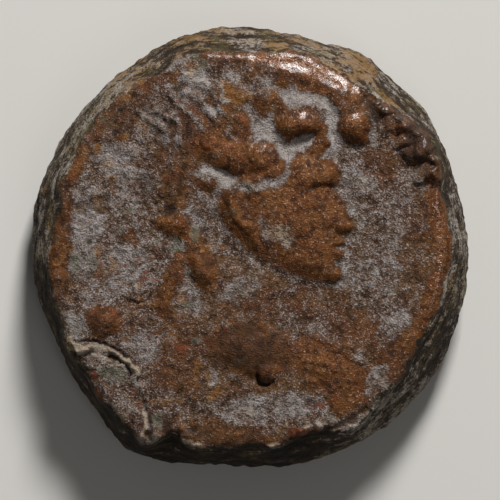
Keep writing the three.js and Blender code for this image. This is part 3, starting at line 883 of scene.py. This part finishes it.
def corrosion_pits(x, y):
    """Depth of scattered round pits, more of them in the left field and near the bottom."""
    random = np.random.default_rng(SEED)
    depth = np.zeros(x.shape)
    small, large = PIT_RADII
    for pit_x, pit_y, radius in LARGE_PITS:
        bowl = oval(x, y, pit_x, pit_y, radius, radius, 0)
        depth = np.maximum(depth, radius * PIT_SHARE_DEPTH * bowl)
    for _ in range(PIT_COUNT):
        angle = random.uniform(0, 2 * math.pi)
        out = FACE_RADIUS * math.sqrt(random.uniform(0, 1))
        radius = small + (large - small) * random.uniform(0, 1) ** 3
        middle = (out * math.cos(angle), out * math.sin(angle))
        likely = 1.0 if middle[0] < PITTED_LEFT or middle[1] < PITTED_BELOW else PITS_ELSEWHERE
        if random.uniform(0, 1) > likely:
            continue
        near = (np.abs(x - middle[0]) < radius) & (np.abs(y - middle[1]) < radius)
        bowl = np.clip(1 - ((x[near] - middle[0]) ** 2 + (y[near] - middle[1]) ** 2) / radius**2, 0, 1)
        depth[near] = np.maximum(depth[near], radius * PIT_SHARE_DEPTH * bowl)
    return depth


def strongest(rows, x, y, spread=0.0):
    """The highest of several ridges: rows are (height, points)."""
    total = np.zeros(x.shape)
    for height, points in rows:
        total = np.maximum(total, height * ridge(points, x, y, spread))
    return total


def metal_lumps(x, y):
    height = np.zeros(x.shape)
    for lump_x, lump_y, radius, top in LUMPS:
        form = oval(x, y, lump_x, lump_y, radius, radius, 0)
        height = np.maximum(height, top * form**LUMP_ROUNDNESS)
    return height


def crusted_lips(place, x, y):
    """The lips beside the cracks, and their height, which is broken up."""
    lips = strongest(CRUST_LIPS, x, y, LIP_SPREAD)
    grains = 0.3 + 1.2 * grain(place, *LIP_GRAINS)
    return lips, lips * (0.2 + 1.2 * ease(0.25, 0.65, grain(place, *LIP_BLOBS)) * grains)


def pit_and_plug(x, y):
    """The part of the pit that is open, and the plug that fills the rest."""
    plug = oval(x, y, *PLUG)
    return ease(0.03, 0.3, oval(x, y, *PIT)) * (1 - ease(0.0, 0.15, plug)), plug


def mineral_spots(place, drawn, x, smooth):
    """Where earth, green and red salts lie: in the patches drawn, and in spots, most of them at the left."""
    minerals = {}
    for name, (rows, blob, rare, seed) in MINERALS.items():
        strewn = ease(rare, rare + 0.5, weathering(place, blob, 2, seed))
        strewn *= SPOT_LEAST + SPOT_MORE * ease(*LEFT_FIELD, x)
        strewn *= 1 - smooth
        minerals[name] = np.maximum(patches(rows, *drawn), strewn)
    return minerals


def grown(value, most, low, high):
    """How much a thing adds: nothing as far as low, and the most from high on."""
    return most * ease(low, high, value)


def obverse_maps():
    """The obverse's height over its field, where each mineral lies on it, and where shade and highlights are
    painted, on one square grid.
    """
    line = np.arange(-GRID_HALF, GRID_HALF + GRID_STEP / 2, GRID_STEP)
    x, y = np.meshgrid(line, line)
    place = on_plane(x, y)
    drawn = wandered(x, y, *PATCH_WANDER)
    fine = wandered(x, y, *CRACK_WANDER)
    relief, bare, hollows, strands = struck_relief(x, y)
    low = softened(relief, LOW_REACH) - relief
    smooth = patches(SMOOTH_HAIR, *drawn)

    # Chalk stays off the high forms, and wear bares those.
    chalk = patches(CHALK_PATCHES, *drawn) * (1 - 0.7 * ease(0.3, 0.6, relief))
    bare = np.maximum(bare, patches(BARE_PATCHES, *drawn)) - 0.6 * chalk
    bare -= 2.2 * np.clip(low, 0, 0.3)
    bare = np.clip(bare * (1 + 0.4 * weathered(place, "wear")), 0, 1)
    shine = strongest(POLISH_AND_PAINTED_HIGHLIGHTS, *fine, POLISH_SPREAD)

    swells = weathered(place, "swells") * STANDS_OUT["swells"]
    grit = weathered(place, "grit")
    crumbs = grit * STANDS_OUT["grit"] + np.abs(weathered(place, "crumbs")) * STANDS_OUT["crumbs"]
    crumbs *= (1 - 0.75 * bare) * (1 - 0.7 * shine) * (1 - smooth) * (0.75 + 0.5 * ease(*LEFT_FIELD, x))
    pits = corrosion_pits(*drawn) * (1 - 0.6 * bare)
    cracks = strongest([(1.0, points) for points in CRACKS], *fine, CRACK_SPREAD)
    lips, lip_height = crusted_lips(place, *fine)
    open_pit, plug = pit_and_plug(*fine)
    height = relief + metal_lumps(*drawn) + lip_height + swells + crumbs - pits - CRACK_DEPTH * cracks
    height += PLUG_HEIGHT * plug - PIT_DEPTH * open_pit

    crust = ease(0.03, 0.1, lips)
    chalk = np.maximum(chalk, 0.7 * hollows) + grown(low, *CHALKY["low"]) + grown(strands, *CHALKY["strands"])
    crumbly = grown(grit, *CHALKY["grit"]) * (1 - bare) * (1 - smooth)
    chalk += 0.2 * weathered(place, "chalk") + crumbly
    # Dark patina from its patches, painted shade in the cracks, and a darker tone in the pits
    dark = patches(DARK_PATINA_AND_SHADE_PATCHES, *drawn) + grown(cracks, *DARKER["cracks"]) + grown(pits, *DARKER["pits"])
    between_strands = softened(strands, STRAND_REACH) - strands
    sunk = grown(grit, *DARKER["grit"]) * (1 - smooth)
    # Painted shade in the open crescent of the pit, where the plug shades it, and between the strands; and a
    # darker tone where the grit is low
    dark += open_pit + grown(between_strands, *DARKER["between strands"]) + sunk
    minerals = mineral_spots(place, drawn, x, smooth)
    return {
        "line": line,
        "height": height,
        "bare": np.maximum(bare * (1 - crust), shine),
        "chalk": np.clip(chalk + crust, 0, 1),
        "earth": np.clip(minerals["earth"] + 0.7 * crust, 0, 1),
        "green": minerals["green"],
        "red": minerals["red"],
        "dark": np.clip(dark * (1 - 0.8 * crust), 0, 1),
        "shine": shine,
    }


def read_map(maps, name, x, y):
    """A map's values at places between its points."""
    line = maps["line"]
    column = np.clip((x - line[0]) / GRID_STEP, 0, len(line) - 1.001)
    row = np.clip((y - line[0]) / GRID_STEP, 0, len(line) - 1.001)
    c = column.astype(int)
    r = row.astype(int)
    u = column - c
    v = row - r
    field = maps[name]
    lower = field[r, c] * (1 - u) + field[r, c + 1] * u
    upper = field[r + 1, c] * (1 - u) + field[r + 1, c + 1] * u
    return lower * (1 - v) + upper * v


FINISHES = ("bare", "chalk", "earth", "green", "red", "dark", "shine")


def round_side(angle, down):
    """Places for patterns that are drawn out round the side: slow round it, and in step with the way down."""
    slow = FLAN_RADIUS * SIDE_STREAK
    return np.stack([slow * np.cos(angle), slow * np.sin(angle), np.full(angle.shape, down)], axis=-1)


def side_noise(around, whole):
    """Streaks that run round the side, large blotches, and crumbs."""
    streaks = weathered(around, "side streaks")
    return streaks, weathered(whole, "side blotches"), weathered(whole, "side crumbs")


def side_finish(angle, streak, blotch, crumb):
    crusted = np.clip(swollen(0, SIDE_CRUST, angle), 0, 1)
    ochre = np.clip(swollen(0, SIDE_EARTH, angle), 0, 1)
    return {
        "chalk": np.clip(crusted + 0.35 * streak + 0.3 * crumb, 0, 1),
        "earth": np.clip(ochre + 0.4 * blotch + 0.3 * streak, 0, 1),
        # dark where the crust is thin, most at the left and bottom: partly painted shade
        "dark": np.clip(0.8 - crusted - 0.4 * streak - 0.3 * crumb, 0, 1),
    }


def obverse_ring(maps, share, angle):
    radius = face_radius(angle) * share
    x = radius * np.cos(angle)
    y = radius * np.sin(angle)
    uneven = weathered(on_plane(x, y), "rim")
    border = np.zeros(angle.shape)
    for direction, half, at_share, top in BORDER:
        crest = hump(share - at_share + BORDER_WANDER * uneven, BORDER_HALF_WIDTH)
        border = np.maximum(border, crest * swollen(0, [(direction, half, top)], angle) * (1 + 0.25 * uneven))
    outside = np.clip((share - EDGE_SHARE) / (1 - EDGE_SHARE), 0, 1)
    drop = OBVERSE_EDGE_DROP * (1 - np.sqrt(1 - outside**2))
    height = read_map(maps, "height", x, y) * (1 - 0.25 * outside)
    z = THICKNESS + blend_up(border, height, CREASE_FILL) - drop
    values = {name: read_map(maps, name, x, y) for name in FINISHES}
    rim = np.clip(swollen(0, RIM_BARE, angle), 0, 1)
    rim *= ease(-0.02, 0.03, share - RIM_SHARE + RIM_WANDER * uneven)
    crust = ease(0.4, 0.8, values["chalk"]) * ease(0.4, 0.8, values["earth"])
    values["bare"] = np.maximum(values["bare"], rim * (1 - crust))
    values["side"] = ease(-0.015, 0.015, share - SIDE_SHARE + SIDE_WANDER * uneven)
    around = round_side(angle, -OBVERSE_EDGE_DROP * math.acos(outside))
    if outside > 0:
        finish = side_finish(angle, *side_noise(around, np.stack([x, y, z], axis=-1)))
        for name, level in finish.items():
            values[name] = blend(values[name], level, values["side"])
    return x, y, z, values, around


# The side and the reverse


def wall_ring(angle, row):
    """One row of the side: over the shoulder to the widest line, then in to the reverse's edge."""
    above = row <= SHOULDER_ROWS
    turn = (1 - row / SHOULDER_ROWS) if above else (row - SHOULDER_ROWS) / TUCK_ROWS
    turn *= math.pi / 2
    edge = face_radius(angle) if above else reverse_radius(angle)
    end = THICKNESS - OBVERSE_EDGE_DROP if above else REVERSE_EDGE_RISE
    straight = turn / (math.pi / 2)
    out = edge + (flan_radius(angle) - edge) * blend(math.cos(turn), 1 - straight, SHOULDER_SLOPE)
    rise = (end - WIDEST_HEIGHT) * blend(math.sin(turn), straight, SHOULDER_SLOPE)
    z = np.full(angle.shape, WIDEST_HEIGHT + rise)

    around = round_side(angle, row * ROW_STEP)
    whole = np.stack([np.cos(angle) * FLAN_RADIUS, np.sin(angle) * FLAN_RADIUS, z], axis=-1)
    streak, blotch, crumb = side_noise(around, whole)
    rough = STANDS_OUT["side streaks"] * streak + STANDS_OUT["side blotches"] * blotch
    rough = (rough + STANDS_OUT["side crumbs"] * crumb) * (1 - straight**4)
    out = out + rough * math.cos(turn)
    z = z + rough * math.sin(turn) * (1 if above else -1)

    values = {name: np.zeros(angle.shape) for name in FINISHES}
    values.update(side_finish(angle, streak, blotch, crumb))
    values["side"] = np.ones(angle.shape)
    return out * np.cos(angle), out * np.sin(angle), z, values, around


def wreath_relief(x, y):
    stem = STEM_HEIGHT * hump(np.hypot(x, y) - WREATH_RADIUS, STEM_HALF_WIDTH)
    height = np.where(y < WREATH_RADIUS * math.sin(math.radians(WREATH_END)), stem, 0)
    for side, leaf, row in product((-1, 1), range(WREATH_LEAVES), (-1, 1)):
        along = WREATH_START + (WREATH_END - WREATH_START) * leaf / (WREATH_LEAVES - 1)
        radius = WREATH_RADIUS + row * LEAF_SPREAD
        middle = (radius * math.cos(math.radians(along)), radius * math.sin(math.radians(along)))
        form = oval(side * x, y, *middle, LEAF_HALF_LENGTH, LEAF_HALF_WIDTH, along + 90 - row * LEAF_TURN)
        height = np.maximum(height, LEAF_HEIGHT * form)
    return height


def reverse_ring(share, angle):
    radius = reverse_radius(angle) * share
    x = radius * np.cos(angle)
    y = radius * np.sin(angle)
    relief = np.maximum(CLUB[0] * ridge(CLUB[1], x, y, WORN_EDGE), wreath_relief(x, y))
    for knot_x, knot_y, half in CLUB_KNOTS:
        relief = np.maximum(relief, CLUB_KNOT_HEIGHT * oval(x, y, knot_x, knot_y, half, half, 0))
    rim = REVERSE_FIELD * ease(REVERSE_RIM_SHARE - 0.01, REVERSE_RIM_SHARE + 0.01, share)
    relief = np.maximum(relief, rim)
    outside = np.clip((share - REVERSE_ROUND_SHARE) / (1 - REVERSE_ROUND_SHARE), 0, 1)
    rise = REVERSE_EDGE_RISE * (1 - np.sqrt(1 - outside**2))
    place = on_plane(x, y)
    rough = np.clip(weathered(place, "reverse crumbs"), 0, None) * STANDS_OUT["reverse crumbs"]
    sunk = np.clip(REVERSE_FIELD - relief, 0, None)
    z = sunk + rise + rough * ease(0, 0.1, sunk)
    wear = weathered(place, "reverse wear")
    values = {
        "bare": np.clip(ease(0.16, 0.02, sunk) * 0.9 + 0.3 * wear, 0, 1),
        "chalk": np.clip(ease(0.05, 0.25, sunk) * 0.5 + 0.35 * wear, 0, 1),
        "earth": np.clip(weathered(place, "reverse earth") * 0.7 - 0.1, 0, 1),
        "green": np.clip(weathered(place, "reverse green") * 0.6 - 0.1, 0, 1),
        "red": np.clip(weathered(place, "reverse red") - 0.8, 0, 1),
        "dark": np.clip(0.2 - wear * 0.4, 0, 1),
        "shine": np.zeros(angle.shape),
        "side": np.full(angle.shape, ease(REVERSE_ROUND_SHARE, 1.0, share)),
    }
    rows = SHOULDER_ROWS + TUCK_ROWS
    return x, y, z, values, round_side(angle, rows * ROW_STEP + REVERSE_EDGE_RISE * math.acos(outside))


# The mesh


def ring_angles(count):
    return np.arange(count) * 2 * math.pi / count


def ring_share(i, count, edge_share):
    """How far out ring i of a face lies: evenly spaced, and closer together where the edge turns."""
    turning = (i / count - 1) / EDGE_RINGS_SHARE + 1
    if turning <= 0:
        return i / count * edge_share / (1 - EDGE_RINGS_SHARE)
    return edge_share + (1 - edge_share) * math.sin(turning * math.pi / 2)


def coin_rings():
    maps = obverse_maps()
    rings = []
    for i in range(OBVERSE_RINGS + 1):
        share = ring_share(i, OBVERSE_RINGS, EDGE_SHARE)
        rings.append(obverse_ring(maps, share, ring_angles(max(1, RING_GROWTH * i))))
    for row in range(1, SHOULDER_ROWS + TUCK_ROWS):
        rings.append(wall_ring(ring_angles(WALL_POINTS), row))
    for i in range(REVERSE_RINGS, -1, -1):
        share = ring_share(i, REVERSE_RINGS, REVERSE_ROUND_SHARE)
        rings.append(reverse_ring(share, ring_angles(max(1, RING_GROWTH * i))))
    return rings


def stitch(faces, inner_start, inner_count, outer_start, outer_count):
    """Joins two rings with triangles, stepping along whichever ring is behind."""
    inner = 0
    outer = 0
    inner_steps = inner_count if inner_count > 1 else 0
    outer_steps = outer_count if outer_count > 1 else 0
    while inner < inner_steps or outer < outer_steps:
        a = inner_start + inner % inner_count
        b = outer_start + outer % outer_count
        behind = (outer + 0.5) / outer_count <= (inner + 0.5) / inner_count
        if inner >= inner_steps or (outer < outer_steps and behind):
            outer += 1
            faces.append((a, b, outer_start + outer % outer_count))
        else:
            inner += 1
            faces.append((a, b, inner_start + inner % inner_count))


def struck_coin(finish):
    """The coin, set over the origin, and how far it was moved for that."""
    rings = coin_rings()
    points = np.concatenate([np.stack(ring[:3], axis=-1) for ring in rings])
    middle = (points[:, :2].max(axis=0) + points[:, :2].min(axis=0)) / 2
    points[:, :2] -= middle
    faces = []
    start = 0
    for ring, following in zip(rings[:-1], rings[1:]):
        stitch(faces, start, len(ring[0]), start + len(ring[0]), len(following[0]))
        start += len(ring[0])
    mesh = bpy.data.meshes.new("struck_coin")
    mesh.from_pydata((points * MM).tolist(), [], faces)
    for name in (*FINISHES, "side"):
        layer = mesh.attributes.new(name, "FLOAT", "POINT")
        layer.data.foreach_set("value", np.concatenate([ring[3][name] for ring in rings]))
    around = mesh.attributes.new("round_side", "FLOAT_VECTOR", "POINT")
    around.data.foreach_set("vector", np.concatenate([ring[4] for ring in rings]).ravel())
    mesh.polygons.foreach_set("use_smooth", [True] * len(faces))
    mesh.materials.append(finish)
    mesh.update()
    coin = bpy.data.objects.new("struck_coin", mesh)
    bpy.context.scene.collection.objects.link(coin)
    return coin, middle * MM


# Finishes


def linear(hex_colour):
    """An sRGB colour such as 7a4f30 as linear red, green, blue and alpha."""
    parts = [int(hex_colour[i : i + 2], 16) / 255 for i in (0, 2, 4)]
    return (*[p / 12.92 if p <= 0.04045 else ((p + 0.055) / 1.055) ** 2.4 for p in parts], 1.0)


def add(tree, kind, settings, result=0):
    """Adds a node and returns its result. A setting is the node's own or an input's, a value or a link."""
    node = tree.nodes.new(kind)
    for name, value in settings.items():
        if isinstance(name, str) and hasattr(node, name):
            setattr(node, name, value)
        elif isinstance(value, bpy.types.NodeSocket):
            tree.links.new(value, node.inputs[name])
        else:
            node.inputs[name].default_value = value
    return node.outputs[result]


def spread(tree, patterns, weights, low, high, least=0.0, most=1.0):
    """How far a weighted sum of patterns has come from low to high, given between least and most."""
    total = 0.0
    for name, weight in weights.items():
        weighed = {"operation": "MULTIPLY_ADD", 0: patterns[name], 1: weight, 2: total}
        total = add(tree, "ShaderNodeMath", weighed)
    eased = {"interpolation_type": "SMOOTHSTEP", 0: total, 1: low, 2: high, 3: least, 4: most}
    return add(tree, "ShaderNodeMapRange", eased)


def layered(tree, patterns, colour, layers):
    """Layers over a colour. The blend node's colours are its sockets 6 and 7, and its result is 2."""
    for upper, weights, low, high, most in layers:
        cover = spread(tree, patterns, weights, low, high, 0.0, most)
        upper = linear(upper) if isinstance(upper, str) else upper
        colour = add(tree, "ShaderNodeMix", {"data_type": "RGBA", 0: cover, 6: colour, 7: upper}, 2)
    return colour


# Each noise's blob size in millimetres, how many finer ones it carries, and how strong those are. All of
# them lie about 0.5. The film's threads are finer than a twentieth of a millimetre on the coin, and
# drawn here as fine as shows.
NOISES = {
    "blotches": (1.3, 3.0, 0.6),
    "mottle": (0.36, 4.0, 0.62),
    "grains": (0.15, 3.0, 0.65),
    "motes": (0.07, 2.0, 0.6),
    "winding": (0.3, 2.5, 0.5),
}
LAYER_SIZE = 0.16  # of the streaks of crust on the side, measured down it
THREAD_WIDTH = 0.055  # as a difference in the winding noise, about its middle value

# An edge that breaks up into grains. These three noises together lie about 1.
FRAYED = {"mottle": 0.7, "grains": 0.8, "motes": 0.5}
FILM = {"chalk": 0.32, "bare": -0.38, "grains": 0.9, "mottle": 0.55, "blotches": 0.3, "motes": 1.0}
CRUST = {"chalk": 0.7, "layers": 1.3, "grains": 0.8, "motes": 0.6}

WAX_COVERS = 0.14  # of the grain's height is left in the wax's own surface

# Layers of colour: (colour, the patterns that place it, where it starts and is full, its most cover)
GROUND = "593a27"  # matt mauve brown
GROUND_LAYERS = [
    ("634421", {"blotches": 1}, 0.42, 0.6, 0.85),  # ochre brown
    ("2a190c", {"mottle": -1, "grains": -0.5}, -0.74, -0.58, 0.8),  # dark grains
]
SKIN = "653a18"  # brown skin of the worn metal
SKIN_LAYERS = [
    ("6d431d", {"blotches": 1}, 0.4, 0.6, 1.0),
    ("321b0b", {"mottle": -1}, -0.53, -0.38, 0.75),  # dark pores
    # Coppery grains: lighter specks of the metal, which also serve as painted glints
    ("a0714f", {"grains": 1}, 0.55, 0.66, 0.5),  # coppery grains
    ("a98b74", {"motes": 1, "grains": 0.5}, 0.87, 0.98, 0.6),  # and pale ones
    # Painted highlight: a lighter, pinker copper where the polish is strongest, most on the border's top and
    # the line along the right rim
    ("bd9680", {"shine": 1, "grains": 1.2, "motes": 1.0}, 1.9, 2.4, 0.9),  # polished copper
]
# A film of grey minerals: a haze, thick spots of it, yellower ones, threads and motes
FILM_LAYERS = [
    ("7a6d65", {"chalk": 1, "bare": -0.7, "blotches": 0.8, "mottle": 0.5}, 0.35, 1.7, 0.46),
    ("7c727a", {"blotches": -1, "chalk": 0.4, "bare": -0.6, "mottle": 0.4}, -0.15, 0.05, 0.42),  # lilac
    ("918784", FILM, 1.34, 1.66, 0.62),
    ("92836a", {**FILM, "blotches": -1.4}, 0.6, 0.9, 0.35),
    ("a9a3a0", {**FILM, "chalk": 0.25}, 1.56, 1.74, 0.5),
    ("aca7a6", {"threads": 0.5, "mottle": 1, "chalk": 0.1, "bare": -0.25}, 0.88, 1.06, 0.55),
    ("b7b2b1", {"motes": 1, "mottle": 0.25, "bare": -0.09}, 0.7, 0.78, 0.6),
    ("b3a9a2", {"chalk": 1, "bare": -0.5, "grains": 0.6, "motes": 0.6}, 1.35, 1.65, 0.6),  # crumbs
]
MINERAL_AND_SHADE_LAYERS = [
    ("6a6d5c", {"green": 1, **FRAYED}, 1.3, 1.9, 0.6),
    ("956735", {"earth": 1, "grains": 1.2, "motes": 1.2}, 1.6, 2.3, 0.65),
    ("ad9b82", {"chalk": 1, "earth": 1, "mottle": 0.7, "grains": 1.4, "motes": 0.8}, 2.6, 3.4, 0.9),
    ("7e3f25", {"red": 1, "mottle": 1.2, "grains": 1.4, "motes": 0.7}, 1.95, 2.8, 0.9),
    # dark patina, and painted shade in the cracks, the open pit, the gaps between strands and along the rim
    # at the left and bottom
    ("22170f", {"dark": 1, **FRAYED}, 1.3, 2.0, 0.8),
]
# The side's scale is darkened overall, partly as painted shade
SCALE = "231910"  # the dark scale of the side
SIDE_LAYERS = [
    ("443222", {"mottle": 1}, 0.4, 0.6, 1.0),
    ("7b694d", CRUST, 1.5, 2.05, 0.85),  # tan crust, then grey, pale and olive
    ("7b7470", {**CRUST, "blotches": 1, "grains": 1.4}, 2.4, 2.7, 0.8),
    ("b4a795", {**CRUST, "grains": 2.0}, 2.4, 2.56, 0.7),
    ("5d5633", {"blotches": -1.2, "layers": 1, "grains": 0.7}, 0.28, 0.48, 0.6),
    ("8c693e", {"earth": 1, "grains": 1.6, "layers": 1.6}, 2.1, 2.5, 0.75),
    ("33261a", {"mottle": -1, "layers": -1}, -0.92, -0.8, 0.8),  # and its cracks
    # darkest where the crust is thin, at the left and bottom: partly painted shade
    ("120d08", {"dark": 1, **FRAYED}, 1.45, 2.1, 0.85),
]


def coin_patterns(tree):
    """What places the coin's colours: the finishes kept at its points, and noise in millimetres."""
    place = add(tree, "ShaderNodeTexCoord", {}, "Object")
    millimetres = add(tree, "ShaderNodeVectorMath", {"operation": "SCALE", 0: place, "Scale": 1 / MM})
    around = add(tree, "ShaderNodeAttribute", {"attribute_name": "round_side"}, "Vector")
    patterns = {}
    for name in (*FINISHES, "side"):
        patterns[name] = add(tree, "ShaderNodeAttribute", {"attribute_name": name}, "Fac")
    for name, (size, detail, strength) in NOISES.items():
        noise = {"Vector": millimetres, "Scale": 1 / size, "Detail": detail, "Roughness": strength}
        patterns[name] = add(tree, "ShaderNodeTexNoise", noise)
    layers = {"Vector": around, "Scale": 1 / LAYER_SIZE, "Detail": 4.0, "Roughness": 0.7}
    patterns["layers"] = add(tree, "ShaderNodeTexNoise", layers)

    # A noise crosses its middle value along thin winding lines.
    from_middle = add(tree, "ShaderNodeMath", {"operation": "SUBTRACT", 0: patterns["winding"], 1: 0.5})
    patterns["off_thread"] = add(tree, "ShaderNodeMath", {"operation": "ABSOLUTE", 0: from_middle})
    patterns["threads"] = spread(tree, patterns, {"off_thread": 1}, 0.0, THREAD_WIDTH, 1.0, 0.0)
    return patterns


def patinated_bronze():
    """Cast and struck tin bronze, buried for two thousand years, cleaned by hand and waxed.

    Worn high points show a thin brown skin with a coppery gleam, and where polish is strongest a lighter
    copper is painted on as a highlight. The ground is covered by a matt film of grey minerals in fine
    threads, and chalk, earth, green and red salts lie on that, with dark patina in patches and painted shade
    in the cracks, the open pit, the gaps between strands and along the rim at the left and bottom. The side
    is still crusted, in streaks that run round it, and darker at the left and bottom, partly as painted
    shade. The wax gives the polished parts small wet glints.
    """
    finish = bpy.data.materials.new("patinated_bronze")
    finish.use_nodes = True
    tree = finish.node_tree
    shader = tree.nodes["Principled BSDF"]
    patterns = coin_patterns(tree)
    ground = layered(tree, patterns, linear(GROUND), GROUND_LAYERS)
    skin = layered(tree, patterns, linear(SKIN), SKIN_LAYERS)
    side = layered(tree, patterns, linear(SCALE), SIDE_LAYERS)
    bared = (skin, {"bare": 1, **FRAYED}, 1.1, 1.8, 1.0)
    face = layered(tree, patterns, ground, [bared, *FILM_LAYERS, *MINERAL_AND_SHADE_LAYERS])
    colour = layered(tree, patterns, face, [(side, {"side": 1, **FRAYED}, 1.3, 1.7, 1.0)])
    tree.links.new(colour, shader.inputs["Base Color"])

    # The skin gleams like metal, and everything on it is matt. Wax lies over what is polished.
    gleam = {"bare": 1, "chalk": -0.3, "side": -1.5, **FRAYED}
    metal = spread(tree, patterns, gleam, 1.2, 1.9, 0.0, 0.4)
    rough = spread(tree, patterns, {**gleam, "shine": 0.6}, 1.1, 2.6, 0.92, 0.3)
    waxed = {"shine": 1.2, "bare": 0.3, "side": -1, **FRAYED}
    wax = spread(tree, patterns, waxed, 1.3, 2.6, 0.0, 0.9)
    tree.links.new(metal, shader.inputs["Metallic"])
    tree.links.new(rough, shader.inputs["Roughness"])
    tree.links.new(wax, shader.inputs["Coat Weight"])
    shader.inputs["Coat Roughness"].default_value = 0.22
    shader.inputs["Specular IOR Level"].default_value = 0.3  # dry crust mirrors less than a smooth stone

    # Grain that is too fine for the mesh, in millimetres of height
    rises = {"grains": 0.4, "motes": 0.4, "mottle": 0.2, "threads": 0.04}
    heights = spread(tree, patterns, rises, 0.3, 0.72, 0.0, 0.085)
    roughened = spread(tree, patterns, {"bare": 1, "shine": 0.5, "chalk": -0.5}, 0.0, 1.0, 1.0, 0.5)
    bump = add(tree, "ShaderNodeBump", {"Strength": roughened, "Distance": MM, "Height": heights})
    waxen = add(tree, "ShaderNodeBump", {"Strength": WAX_COVERS, "Distance": MM, "Height": heights})
    tree.links.new(bump, shader.inputs["Normal"])
    tree.links.new(waxen, shader.inputs["Coat Normal"])
    return finish


def pale_card():
    """Matt card: an even off-white, with no gloss."""
    finish = bpy.data.materials.new("pale_card")
    finish.use_nodes = True
    shader = finish.node_tree.nodes["Principled BSDF"]
    shader.inputs["Base Color"].default_value = linear("d9d6d0")
    shader.inputs["Roughness"].default_value = 0.9
    return finish


# The stage

FLOOR_WIDTH = 1.2
PICTURE_WIDTH = 21.64 * MM  # what the camera's frame takes in at the obverse
PICTURE_CENTRE = (-0.02 * MM, -0.065 * MM)
CAMERA_HEIGHT = 0.4
NEAREST_SEEN = 0.01
SENSOR = 36.0
KEY_DIRECTION = 76
KEY_ELEVATION = 40
KEY_DISTANCE = 0.36
KEY_SIZE = 0.075
KEY_POWER = 1.5
FILL_DIRECTION = -60
FILL_ELEVATION = 62
FILL_SIZE = 0.15
FILL_POWER = 0.08
SKY = 0.07


def floor():
    half = FLOOR_WIDTH / 2
    mesh = bpy.data.meshes.new("floor")
    corners = [(-half, -half, 0), (half, -half, 0), (half, half, 0), (-half, half, 0)]
    mesh.from_pydata(corners, [], [(0, 1, 2, 3)])
    mesh.materials.append(pale_card())
    sheet = bpy.data.objects.new("floor", mesh)
    bpy.context.scene.collection.objects.link(sheet)


def soft_lamp(name, direction, elevation, distance, size, power):
    lamp = bpy.data.lights.new(name, "AREA")
    lamp.size = size
    lamp.energy = power
    holder = bpy.data.objects.new(name, lamp)
    angle = math.radians(direction)
    lift = math.radians(elevation)
    level = distance * math.cos(lift)
    holder.location = (level * math.cos(angle), level * math.sin(angle), distance * math.sin(lift))
    holder.rotation_euler = (-Vector(holder.location)).to_track_quat("-Z", "Y").to_euler()
    bpy.context.scene.collection.objects.link(holder)


def camera_above(middle):
    lens = bpy.data.cameras.new("camera")
    lens.sensor_width = SENSOR
    lens.lens = SENSOR * (CAMERA_HEIGHT - THICKNESS * MM) / PICTURE_WIDTH
    lens.clip_start = NEAREST_SEEN
    holder = bpy.data.objects.new("camera", lens)
    holder.location = (PICTURE_CENTRE[0] - middle[0], PICTURE_CENTRE[1] - middle[1], CAMERA_HEIGHT)
    bpy.context.scene.collection.objects.link(holder)
    bpy.context.scene.camera = holder


def lighting():
    soft_lamp("key", KEY_DIRECTION, KEY_ELEVATION, KEY_DISTANCE, KEY_SIZE, KEY_POWER)
    soft_lamp("fill", FILL_DIRECTION, FILL_ELEVATION, KEY_DISTANCE, FILL_SIZE, FILL_POWER)
    sky = bpy.data.worlds.new("sky")
    sky.use_nodes = True
    sky.node_tree.nodes["Background"].inputs["Color"].default_value = (SKY, SKY, SKY, 1)
    bpy.context.scene.world = sky
    bpy.context.scene.view_settings.view_transform = "Standard"


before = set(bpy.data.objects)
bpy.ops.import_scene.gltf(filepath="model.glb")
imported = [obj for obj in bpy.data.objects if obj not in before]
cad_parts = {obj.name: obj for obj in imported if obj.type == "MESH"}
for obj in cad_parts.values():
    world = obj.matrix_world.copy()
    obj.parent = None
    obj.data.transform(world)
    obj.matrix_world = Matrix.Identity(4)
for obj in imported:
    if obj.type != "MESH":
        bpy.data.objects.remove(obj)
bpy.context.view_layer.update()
floor()
lighting()
coin, middle = struck_coin(patinated_bronze())
camera_above(middle)
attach(coin, "root")
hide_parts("coin")
